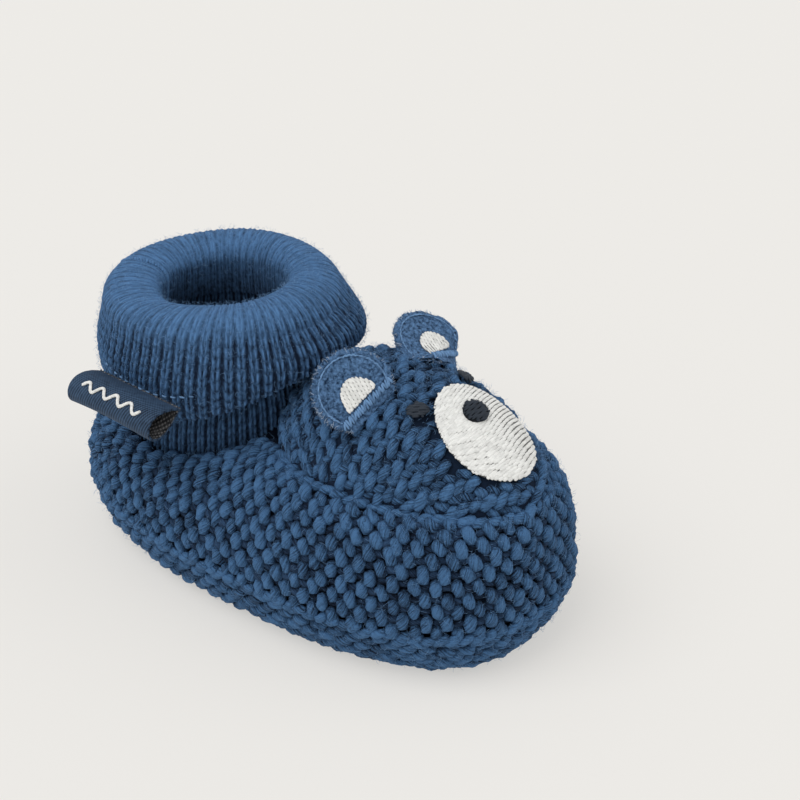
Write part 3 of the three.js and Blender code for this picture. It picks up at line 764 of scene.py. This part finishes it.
def tube(u, v):
    """The part that stands up from the knit body: its outside below the hem, then its inside down again."""
    h = u * TURN
    outside = v < TUBE_OUTSIDE
    p_down = mix(TUBE_TOP, 0, (v - TUBE_OUTSIDE) / (1 - TUBE_OUTSIDE))
    p = np.where(outside, mix(0, TUBE_TOP, v / TUBE_OUTSIDE), p_down)
    root, crest, _ = cuff_heights(h)
    relief, values = rib_relief(h, p * (crest - root))
    outer = -(RIB / 2 - TUBE_RIB_DEPTH + TUBE_RIB_DEPTH * relief)
    lining = RIB / 2 - TUBE_LINING_DEPTH + TUBE_LINING_DEPTH * relief
    return cuff_surface(h, p, np.where(outside | (v > LAST_ROW), outer, lining)), values


finish_object(grid_mesh("cuff_turnover", RIBS * 11, 128, turnover, rib), "bootie", ["cuff_rib"])
finish_object(grid_mesh("cuff_tube", RIBS * 8, 110, tube, rib), "bootie", [])


# ---------------------------------------------------------------- ears
rib_thread = fibre_material("rib_coloured_thread", RIB_DARK, RIB_LIGHT, fibre_scale=(0.5, 5), streaks=1.4)
loose_fibre = fibre_material("loose_blue_fibre", (0.05, 0.11, 0.22), (0.2, 0.36, 0.6), streaks=0.6)
frayed_thread = fibre_material("frayed_pale_thread", (0.1, 0.2, 0.38), (0.55, 0.65, 0.78), streaks=0.6)
ear_cloth = cloth_material("felted_ear_cloth", (0.004, 0.016, 0.045), (0.105, 0.215, 0.4), bump=0.9,
                           sheen=0.2, speckle=3.0)
edge_thread = fibre_material("pale_blue_thread", (0.006, 0.025, 0.07), (0.16, 0.3, 0.52),
                             fibre_scale=(0.5, 6), streaks=2.2, shade_spread=0.5)
ivory = fibre_material("ivory_thread", (0.34, 0.34, 0.33), (0.93, 0.93, 0.9), fibre_scale=(0.4, 7),
                       bump=0.4, sheen=0.2, roughness=0.6, height_range=(-1.6, 0.0), streaks=0.7)
# The underlay under the ivory stitches is grey: painted shade in the gaps between them.
ivory_gap_shade = cloth_material("ivory_pad_painted_shade", (0.05, 0.05, 0.05), (0.3, 0.3, 0.29))
charcoal = fibre_material("charcoal_thread", (0.003, 0.005, 0.009), (0.034, 0.044, 0.06),
                          fibre_scale=(0.4, 7), bump=0.4, sheen=0.1, roughness=0.55, streaks=1.2)
# The underlay under the charcoal stitches is darker still: painted shade in the gaps between them.
charcoal_gap_shade = cloth_material("charcoal_pad_painted_shade", (0.003, 0.004, 0.006), (0.02, 0.024, 0.03))
STITCH_INSET, BAR_WIDTH, PATCH_HALF_WIDTH, PATCH_LENGTH = 1.5, 1.5, 3.7, 5.0
PATCH_BASE, PATCH_DOME, BAR_HEIGHT = 2.0, 0.16, 0.95
HALF_BASE = math.sqrt(EAR_RADIUS ** 2 - EAR_RISE ** 2)
EAR_MIDDLE, EAR_INSET, EAR_SEWN_IN, SEAM_ALLOWANCE = 3.6, 0.3, 1.4, 0.8
EAR_CLOTH, EAR_FACE = 0.6, 0.68
EAR_TUCK = {"left": 2.1, "right": 1.2}
EAR_TWIST = {"left": -0.62, "right": 0.0}  # the ear turns about its own middle line, more towards the tip


def ear_basis(side):
    """The ear's own axes: across its base, up it and out of its face, and the middle of its base."""
    sign = 1 if side == "left" else -1
    swing = EAR_SWING[side]
    normal = dome_normal(np.array(sign * EAR_X), np.array(EAR_Y))
    base = np.array([-sign, EAR_SKEW, 0.0])
    base = unit(base - normal * base.dot(normal))
    along = np.array([sign * math.sin(swing), math.cos(swing), 0]) * math.cos(EAR_LEAN)
    along[2] = math.sin(EAR_LEAN)
    along = unit(along - base * along.dot(base))
    right = base * -sign
    root = on_dome(sign * EAR_X, EAR_Y, 2 * GAP + EAR_LAYER)
    return right, along, np.cross(right, along), root - along * EAR_TUCK[side], EAR_TWIST[side]


def in_basis(basis, x, y, z):
    """Points given in the ear's own axes."""
    right, along, front, root, twist = basis
    x, y, z = np.broadcast_arrays(x, y, z)
    right, front = ear_turned(right, front, twist, y)
    return root + right * x[..., None] + along * y[..., None] + front * z[..., None]


def ear_turned(right, front, twist, y):
    """The ear's right and front directions at a height y above its base."""
    angle = (twist * eased((y + 1) / 6))[..., None]
    return right * np.cos(angle) - front * np.sin(angle), front * np.cos(angle) + right * np.sin(angle)


def ear_reach(angle, inset):
    """How far the ear's outline, an arc cut off by the base line, is from a point above its base."""
    s = np.sin(angle)
    drop = EAR_RISE - EAR_MIDDLE
    radius = EAR_RADIUS - inset
    to_arc = s * drop + np.sqrt(np.maximum(s * s * drop * drop + radius * radius - drop * drop, 0))
    to_base = np.where(s < -1e-6, (EAR_MIDDLE + EAR_SEWN_IN - inset) / np.maximum(-s, 1e-6), np.inf)
    return np.minimum(to_arc, to_base)


def there_and_back(v):
    """0 at the middle of a face, 1 at its rim when v is 0.5, and 0 again at the middle of the other face."""
    return np.sin((1 - np.abs(2 * v - 1)) * math.pi / 2)


def ear_layer(side, basis, middle_z, seed):
    """One layer of felted cloth with a ragged, slightly curled edge."""
    def place(u, v):
        angle, share = u * TURN, there_and_back(v)
        face = np.where(v < 0.5, 1, -1) * np.where(np.abs(v - 0.5) < 1e-6, 0, 1)
        teeth = 0.012 * np.sin(angle * 41 + 6 * np.sin(angle * 7 + seed))
        bites = 0.022 * noise2(angle * 11, 0, seed) + 0.02 * noise2(angle * 3, 0, seed + 1)
        reach = ear_reach(angle, EAR_INSET) * (1 + share ** 6 * (teeth + bites)) * share
        x, y = np.cos(angle) * reach, EAR_MIDDLE + np.sin(angle) * reach
        thick = EAR_CLOTH / 2 * np.sqrt(np.clip(1 - share ** 10, 0, 1))
        felt = 0.07 * np.sin(x * 9 + 2 * np.sin(y * 5)) * np.sin(y * 9 + 2 * np.sin(x * 4)) * (1 - share ** 8)
        curl = 0.14 * share ** 4 * (np.sin(angle * 3 + 1) + 0.4 * np.sin(angle * 8 + seed))
        z = middle_z + face * thick + felt + curl
        # Lower felt is darker: painted shade in the felt's hollows.
        return in_basis(basis, x, y, z), {"height": 0.55 + 2.5 * felt}

    return grid_mesh(f"ear_{side}_{'front' if middle_z > 0 else 'back'}_cloth", 150, 70, place, ear_cloth)


def ear_frames(basis, x, y, z, heading):
    """Frames on the ear's face: heading turns along from the base line towards the tip."""
    up = basis[1]
    right, front = ear_turned(basis[0], basis[2], basis[4], np.asarray(y))
    heading = np.broadcast_to(heading, np.shape(x))[:, None]
    along = right * np.cos(heading) + up * np.sin(heading)
    return in_basis(basis, x, y, z), along, np.cross(front, along), front


def thread_shape(n, length, radius, lift=0.12, sink=0.0, flat=0.8, vary=0.06):
    """The shape of n short stitches of thread, in millimetres."""
    return {
        "length": length * spread(n, vary),
        "radius": radius * spread(n, 0.1),
        "lift": lift * spread(n, 0.3),
        "sink": sink,
        "flat": flat,
    }


def filled_rows(half_width, low, high, pitch, length, gap, inside):
    """Staggered stitches in rows that fill a shape: their places across and along it, and their lengths.
    inside(x) gives the shape's top and bottom at x."""
    spots = []
    for k, x in enumerate(np.arange(-half_width + pitch / 2, half_width, pitch)):
        start = (k * 0.38 % 1 + rng.uniform(-0.06, 0.06)) * (length + gap)
        y = np.arange(low - length + start, high + length, length + gap)
        spots.append(np.stack([np.full(len(y), x), y], -1))
    spots = np.concatenate(spots)
    top, bottom = inside(spots[:, 0])
    a = np.maximum(spots[:, 1] - length / 2, bottom)
    b = np.minimum(spots[:, 1] + length / 2, top)
    keep = b - a > 0.35
    return spots[keep, 0], (a[keep] + b[keep]) / 2, (b - a)[keep]


def patch_rows(x):
    """The top and bottom of the ivory patch, half an oval."""
    half = np.sqrt(np.maximum(0, 1 - (x / PATCH_HALF_WIDTH) ** 2))
    return PATCH_BASE + PATCH_LENGTH * half, np.full(len(x), PATCH_BASE)


def patch_ground(basis):
    """The padding under the patch."""
    def place(u, v):
        angle, share = u * TURN, there_and_back(v)
        x = np.cos(angle) * share * (PATCH_HALF_WIDTH - 0.15)
        rise = np.maximum(np.sin(angle), 0) * share * (PATCH_LENGTH - 0.2)
        y = PATCH_BASE + 0.1 + rise + share * 0.02
        z = EAR_FACE + np.where(v < 0.5, 0.18, -0.1) * np.sqrt(1 - share ** 6)
        return in_basis(basis, x, y, z), {"height": 0.4}

    return place


for side in ("left", "right"):
    body, basis = "ear_" + side, ear_basis(side)
    for name, middle_z in (("front", EAR_FACE - EAR_CLOTH / 2), ("back", EAR_CLOTH / 2 - EAR_FACE)):
        layer = ear_layer(side, basis, middle_z, 3 if name == "front" else 8)
        finish_object(layer, body, [f"ear_{side}_{name}"])

    # The line of stitches that holds the two layers together runs just inside the raw edge.
    below_level, lowest = 0.52, 1.3
    angles = np.linspace(-below_level, math.pi + below_level, 44)
    radius = EAR_RADIUS - STITCH_INSET
    x, y = np.cos(angles) * radius, EAR_RISE + np.sin(angles) * radius
    x, y = x[y > lowest], y[y > lowest]
    heading = np.arctan2(y - EAR_RISE, x) + math.pi / 2 + rng.uniform(-0.45, 0.45, len(x))
    row = strand_mesh(f"ear_{side}_edge_stitches", ear_frames(basis, x, y, EAR_FACE, heading),
                      thread_shape(len(x), 1.05, 0.16, vary=0.25), edge_thread)
    finish_object(row, body, [f"ear_{side}_edge_stitching"])

    # A bar of close whip stitches crosses the base.
    x = np.arange(-HALF_BASE + 0.5, HALF_BASE - 0.5, 0.5)
    lean = math.pi / 2 - 0.35 + rng.uniform(-0.3, 0.3, len(x))
    frames = ear_frames(basis, x, BAR_HEIGHT + 0 * x, EAR_FACE + 0.12, lean)
    bar = strand_mesh(f"ear_{side}_base_stitches", frames,
                      thread_shape(len(x), BAR_WIDTH * 1.3, 0.24, lift=0.3, vary=0.2), edge_thread, rings=7)
    finish_object(bar, body, [f"ear_{side}_base_stitching"])

    pad = grid_mesh(f"ear_{side}_patch_underlay", 48, 20, patch_ground(basis), ivory_gap_shade)
    finish_object(pad, body, [f"ear_{side}_patch"])
    patch_top = PATCH_BASE + PATCH_LENGTH
    x, y, long = filled_rows(PATCH_HALF_WIDTH, PATCH_BASE, patch_top, 0.28, 2.1, 0.18, patch_rows)
    shape = thread_shape(len(x), 1, 0.24, lift=0.08, flat=0.5)
    shape["length"] = long + 0.12
    frames = ear_frames(basis, x, y, EAR_FACE + PATCH_DOME, math.pi / 2)
    patch = strand_mesh(f"ear_{side}_patch_stitches", frames, shape, ivory)
    finish_object(patch, body, [])


# ---------------------------------------------------------------- face
PAD_LIFT, THREAD_PITCH, PAD_SHARE, RIM_DROP, RIM_POWER = 0.75, 0.27, 0.97, 0.3, 8
NOSE_LIFT, NOSE_FORWARD, EYE_LIFT, EYE_TURN = PAD_LIFT + 0.5, 0.9, 0.95, 0.9


def rim_drop(share):
    """How far a pad's top falls towards its rim, at a share of the way out."""
    return RIM_DROP * (1 - np.sqrt(np.clip(1 - np.clip(share, 0, 1) ** RIM_POWER, 0, 1)))


def dome_pad(name, centre, lift, material, depth=1.4):
    """A padded oval on the vamp, with a rounded rim that goes down into the knit."""
    def place(u, v):
        angle, share = u * TURN, there_and_back(v)
        x = centre[0] + np.sin(angle) * share * centre[2] * PAD_SHARE
        y = centre[1] + np.cos(angle) * share * centre[3] * PAD_SHARE
        return on_dome(x, y, np.where(v < 0.5, lift - rim_drop(share), lift - depth)), {"height": 0.4}

    return grid_mesh(name, 72, 30, place, material)


def oval_rows(centre, lift, length, gap, pitch=THREAD_PITCH, turn=0.0):
    """Stitches that fill an oval on the vamp, in rows turned by an angle: their frames and their lengths."""
    def inside(x):
        half = centre[2] * np.sqrt(np.maximum(0, 1 - (x / centre[3]) ** 2))
        return half, -half

    v, u, long = filled_rows(centre[3], -centre[2], centre[2], pitch, length, gap, inside)
    c, s = math.cos(turn), math.sin(turn)
    x, y = centre[0] + u * c - v * s, centre[1] + u * s + v * c
    share = np.hypot((x - centre[0]) / centre[2], (y - centre[1]) / centre[3])
    out = dome_normal(x, y)
    along = unit(vec3(c, s, 0) - out * (out @ np.array([c, s, 0.0]))[:, None])
    return (on_dome(x, y, lift - rim_drop(share)), along, np.cross(out, along), out), long


def embroidered(name, rows, radius, material, lift=0.14, flat=0.8):
    """The stitches of one embroidered shape, in one mesh."""
    frames, long = rows
    shape = thread_shape(len(long), 1, radius, lift=lift, flat=flat)
    shape["length"] = long + 0.1
    # Rows are even from above, so where the foot slopes they stand apart and the thread is wider.
    shape["radius"] = shape["radius"] / np.clip(frames[3][:, 2], 0.45, 1)
    return strand_mesh(name, frames, shape, material)


pad = dome_pad("muzzle_underlay", MUZZLE, PAD_LIFT, ivory_gap_shade)
finish_object(pad, "bootie", ["muzzle_embroidery", "embroidery_backing"])
rows = oval_rows(MUZZLE, PAD_LIFT, 2.7, 0.3)
stitches = embroidered("muzzle_stitches", rows, 0.27, ivory, lift=0.06, flat=0.3)
finish_object(stitches, "bootie", [])
nose = (NOSE[0], NOSE[1] - NOSE_FORWARD, NOSE[2], NOSE[3])
pad = dome_pad("nose_underlay", nose, NOSE_LIFT, charcoal_gap_shade, depth=0.9)
finish_object(pad, "bootie", ["nose_embroidery"])
rows = oval_rows(nose, NOSE_LIFT, 5.8, 0.3, pitch=0.26)
finish_object(embroidered("nose_stitches", rows, 0.19, charcoal), "bootie", [])
for side, sign in (("left", 1), ("right", -1)):
    eye = (sign * EYE[0], EYE[1], 2.4, 1.3)
    rows = oval_rows(eye, EYE_LIFT, 5.0, 0.3, pitch=0.3, turn=sign * EYE_TURN)
    stitches = embroidered(f"eye_{side}_stitches", rows, 0.28, charcoal, lift=0.3)
    finish_object(stitches, "bootie", [f"eye_{side}_embroidery"])


# ---------------------------------------------------------------- label
# The twill's low parts are darker: painted shade in the weave.
ribbon = cloth_material("navy_twill_ribbon", (0.002, 0.006, 0.016), (0.06, 0.115, 0.205), scale=900,
                        bump=0.3, sheen=0.1, roughness=0.7, level_name="weave", level_range=(0.1, 1.0))
ribbon_inside = cloth_material("ribbon_reverse", (0.004, 0.005, 0.008), (0.5, 0.5, 0.5), scale=900, bump=0.2,
                               sheen=0.0, level_name="floats", level_range=(0.0, 1.6))


LABEL_FULLNESS, TWILL_STEP, TWILL_ROW, WEAVE_RELIEF, FLOAT_STEP = 1.3, 0.62, 0.42, 0.035, 1.1


def label_basis():
    """The label's own axes: along its sewn edge, out of the cuff and up, and the middle of that edge."""
    radius = TURNOVER_HALF_WIDTH + TURNOVER_FLARE + RIB / 2 + 2 * GAP
    z = cuff_heights(np.array(LABEL_HEADING))[2] + LABEL_ABOVE_HEM

    def at(h):
        return np.array([radius * math.sin(h), ANKLE_CENTRE_Y - (radius + CUFF_OVAL) * math.cos(h), float(z)])

    root = at(LABEL_HEADING)
    along = unit(at(LABEL_HEADING + 0.01) - at(LABEL_HEADING - 0.01))
    out = unit(np.cross(along, [0, 0, 1.0]))
    if out.dot(root - [0, ANKLE_CENTRE_Y, z]) < 0:
        out = -out
    out = out * math.cos(LABEL_DROOP) - np.array([0, 0, math.sin(LABEL_DROOP)])
    up = np.cross(along, out)
    if up[2] < 0:
        along, up = -along, -up
    return along, out, up, root


def tear_drop(t, trim):
    """The loop seen from its end: how far out and how far up it is at t."""
    share = (1 - np.cos(t)) / 2
    belly = (LABEL_BELLY - trim) * LABEL_FULLNESS
    return mix(2 * trim, LABEL_REACH - trim, share), belly * np.sin(t) * np.sqrt(share)


def label_point(x, t, lift=0.0):
    """A point on the ribbon: x across its width, t round the loop and lift above it, in millimetres."""
    right, out, up, root = label_axes
    y, z = tear_drop(t, -lift)
    z = z + np.clip((y - 1.5) / 3, 0, 1) * 0.35 * np.sin(x / 5 + 1)  # a slight wave, away from its seam
    x, y, z = np.broadcast_arrays(x, y, z)
    return root + right * x[..., None] + out * y[..., None] + up * z[..., None]


def label_loop(u, v):
    """The ribbon's outer face: twill, with pale floats that show on its reverse."""
    across, around = LABEL_WIDTH * u, LABEL_LENGTH * v
    rows, row_wave = np.floor(around / TWILL_ROW), np.sin(math.pi * around / TWILL_ROW)
    weave = 0.5 + 0.5 * np.sin(TURN * (across / TWILL_STEP + 0.25 * rows)) * row_wave
    floats = np.clip(np.sin(TURN * across / FLOAT_STEP + rows * 2.1) * 3 - 1.6, 0, 1) * np.abs(row_wave)
    points = label_point(across - LABEL_WIDTH / 2, v * TURN, WEAVE_RELIEF * weave)
    return points, {"weave": weave, "floats": floats}


label_axes = label_basis()
t = np.linspace(0, TURN, 400)
y, z = tear_drop(t, 0)
LABEL_LENGTH = float(np.hypot(np.diff(y), np.diff(z)).sum())
label = grid_mesh("label_ribbon", 180, 200, label_loop, ribbon)
label.data.materials.append(ribbon_inside)
thickness = label.modifiers.new("thickness", "SOLIDIFY")
thickness.thickness, thickness.offset, thickness.material_offset = RIBBON * MM, -1, 1
finish_object(label, "label", ["label_loop"])

# The motif is a plain wave of short white stitches on the label's upper face.
MOTIF_LENGTH, MOTIF_WAVES, MOTIF_SWING, MOTIF_PLACE, MOTIF_LIFT, MOTIF_STITCHES = 15, 4, 0.198, 0.36, 0.18, 64
share = np.linspace(0, 1, MOTIF_STITCHES)
x = (share - 0.5) * MOTIF_LENGTH
t = MOTIF_PLACE * TURN + MOTIF_SWING * np.sin(share * MOTIF_WAVES * TURN)
step = 0.05
pos = label_point(x, t, MOTIF_LIFT)
ahead = label_point(x + step, t + step * np.gradient(t, x), MOTIF_LIFT)
along = unit(ahead - pos)
out = unit(np.cross(along, label_point(x, t + 0.02, MOTIF_LIFT) - pos))
out = out * np.sign(out @ label_axes[2])[:, None]
motif = strand_mesh("label_wave", (pos, along, np.cross(out, along), out),
                    thread_shape(MOTIF_STITCHES, 1.1, 0.34, lift=0.1), ivory)
finish_object(motif, "label", ["label_motif"])


# ---------------------------------------------------------------- seams on the cuff
def cuff_frames(h, p, lift):
    """Frames on the cuff: along goes along the cloth from the throat over the fold, across goes round."""
    pos = cuff_surface(h, p, lift)
    along = unit(cuff_surface(h, p + 0.02, lift) - cuff_surface(h, p - 0.02, lift))
    side = unit(cuff_surface(h + 0.01, p, lift) - cuff_surface(h - 0.01, p, lift))
    out = unit(np.cross(side, along))
    out = out * np.sign(((cuff_surface(h, p, lift + 0.2) - pos) * out).sum(-1, keepdims=True))
    return pos, along, np.cross(out, along), out


LABEL_STITCHES, LABEL_SEAM_HALF_ARC, CLOSING_STITCHES, CLOSING_HEADING = 13, 0.42, 46, math.pi + 0.18
h = LABEL_HEADING + np.linspace(-LABEL_SEAM_HALF_ARC, LABEL_SEAM_HALF_ARC, LABEL_STITCHES)
crest, hem = cuff_heights(h)[1:]
p = 2 + (crest - hem - LABEL_ABOVE_HEM - 1.2) / (crest - hem)
pos, along, across, out = cuff_frames(h, p, RIB / 2 + 0.05)
row = strand_mesh("label_sewing_stitches", (pos, across, -along, out),
                  thread_shape(LABEL_STITCHES, 1.25, 0.2, lift=0.2), edge_thread)
finish_object(row, "bootie", ["label_stitching"])

p = np.linspace(0.35, 1.75, CLOSING_STITCHES)
h = CLOSING_HEADING + 0.02 * np.sin(p * 9)
pos, along, across, out = cuff_frames(h + 0 * p, p, RIB / 2 - 0.05)
seam = strand_mesh("cuff_closing_seam_stitches", jittered((pos, across, -along, out), 0.05, 0.1, 0.55),
                   thread_shape(CLOSING_STITCHES, 1.7, 0.34, lift=0.1, sink=0.05), rib_thread)
finish_object(seam, "bootie", ["cuff_closing_seam"])


# ---------------------------------------------------------------- loose fibres
BODY_HAIRS, VAMP_HAIRS, CUFF_HAIRS, EAR_HAIRS = 3800, 2600, 3800, 260


def fuzz(name, frames, longest=2.1, radius=0.022):
    """Fine loose hairs that stand off the yarn at all angles."""
    pos, along, across, out = frames
    n = len(pos)
    turn, rise = rng.uniform(0, TURN, n)[:, None], rng.uniform(0.1, 1.1, n)[:, None]
    flat = along * np.cos(turn) + across * np.sin(turn)
    new_along = unit(flat * np.cos(rise) + out * np.sin(rise))
    new_out = unit(np.cross(new_along, np.cross(out, new_along)))
    length = rng.uniform(0.35, 1, n) ** 1.5 * longest
    pos = pos + new_along * (length / 2)[:, None] * 0.8 + out * 0.35
    shape = {"length": length, "radius": radius, "lift": rng.uniform(0.1, 0.5, n) * length * 0.5, "sink": 0.0,
             "bow": rng.uniform(-0.4, 0.4, n) * length * 0.5}
    frames = pos, new_along, np.cross(new_out, new_along), new_out
    return strand_mesh(name, frames, shape, loose_fibre, sides=3)


t, rise = rng.uniform(0, TURN, BODY_HAIRS), rng.uniform(-0.6, 1, BODY_HAIRS)
finish_object(fuzz("body_fuzz", body_frames(t, rise)), "bootie", [])
x, y = clear_of_face(rng.uniform(-20, 20, VAMP_HAIRS), rng.uniform(-49, 6, VAMP_HAIRS))
seam = reach_seam(np.arctan2(x, SEAM_CENTRE_Y - y), SEAM_CENTRE_Y, 0)
near = np.hypot(x, y - SEAM_CENTRE_Y) < 0.97 * seam
finish_object(fuzz("vamp_fuzz", dome_frames(x[near], y[near])), "bootie", [])
frames = cuff_frames(rng.uniform(0, TURN, CUFF_HAIRS), rng.uniform(0.9, 3, CUFF_HAIRS), RIB / 2 - 0.2)
finish_object(fuzz("cuff_fuzz", frames, longest=1.5, radius=0.02), "bootie", [])
for side in ("left", "right"):
    basis = ear_basis(side)
    angle = rng.uniform(-0.7, math.pi + 0.7, EAR_HAIRS)
    reach = ear_reach(angle, 0.45)
    x, y = np.cos(angle) * reach, EAR_MIDDLE + np.sin(angle) * reach
    heading = angle + rng.uniform(-0.7, 0.7, EAR_HAIRS)
    frames = ear_frames(basis, x, y, rng.uniform(-EAR_FACE, EAR_FACE, EAR_HAIRS), heading)
    hairs = {
        "length": rng.uniform(0.5, 1.7, EAR_HAIRS),
        "radius": 0.04,
        "lift": rng.uniform(-0.3, 0.3, EAR_HAIRS),
        "sink": 0.0,
        "bow": rng.uniform(-0.3, 0.3, EAR_HAIRS),
    }
    frayed = strand_mesh(f"ear_{side}_frayed_edge", frames, hairs, frayed_thread, sides=3)
    finish_object(frayed, "ear_" + side, [])


# ---------------------------------------------------------------- camera, floor and light
TARGET = Vector((0, 0, 0.030))
AZIMUTH, ELEVATION, DISTANCE = math.radians(-52), math.radians(33), 0.480
back = Vector((
    math.sin(AZIMUTH) * math.cos(ELEVATION), -math.cos(AZIMUTH) * math.cos(ELEVATION), math.sin(ELEVATION),
))
camera_data = bpy.data.cameras.new("camera")
camera_data.lens, camera_data.sensor_width = 106.9, 36
camera_data.shift_x, camera_data.shift_y = 0.086, 0.046
camera = bpy.data.objects.new("camera", camera_data)
bpy.context.collection.objects.link(camera)
camera.location = TARGET + back * DISTANCE
camera.rotation_mode = "QUATERNION"
camera.rotation_quaternion = (-back).to_track_quat("-Z", "Y")
bpy.context.scene.camera = camera

bm = bmesh.new()
bmesh.ops.create_grid(bm, x_segments=1, y_segments=1, size=6)
floor_mesh = bpy.data.meshes.new("floor")
bm.to_mesh(floor_mesh)
bm.free()
floor_mat, floor_shader, node, links = new_material("pale_floor")
# The floor glows a little, so that shadows on it stay as soft as under a wide studio light.
GLOW, PALE = 0.6, (0.84, 0.823, 0.791)
floor_shader.inputs["Base Color"].default_value = rgba([c * (1 - GLOW) for c in PALE])
floor_shader.inputs["Emission Color"].default_value = rgba(PALE)
floor_shader.inputs["Emission Strength"].default_value = GLOW
floor_shader.inputs["Roughness"].default_value = 1.0
floor_shader.inputs["Specular IOR Level"].default_value = 0.0
floor_mesh.materials.append(floor_mat)
floor = bpy.data.objects.new("floor", floor_mesh)
bpy.context.collection.objects.link(floor)

SKY, SUN, FILL = 0.6, 1.3, 0.4
world = bpy.data.worlds.new("studio")
world.use_nodes = True
world.node_tree.nodes["Background"].inputs[0].default_value = (1, 1, 1, 1)
world.node_tree.nodes["Background"].inputs[1].default_value = SKY
bpy.context.scene.world = world


def soft_sun(name, strength, spread_degrees, towards):
    """A wide sun whose light goes in a direction."""
    data = bpy.data.lights.new(name, "SUN")
    data.energy, data.angle = strength, math.radians(spread_degrees)
    sun = bpy.data.objects.new(name, data)
    bpy.context.collection.objects.link(sun)
    sun.rotation_mode = "QUATERNION"
    sun.rotation_quaternion = Vector(towards).to_track_quat("-Z", "Y")


soft_sun("soft_key", SUN, 50, (0.55, -0.25, -1.0))
soft_sun("soft_fill", FILL, 60, (-0.45, 0.7, -0.6))
bpy.context.scene.view_settings.view_transform = "Standard"
bpy.context.scene.view_settings.look = "None"
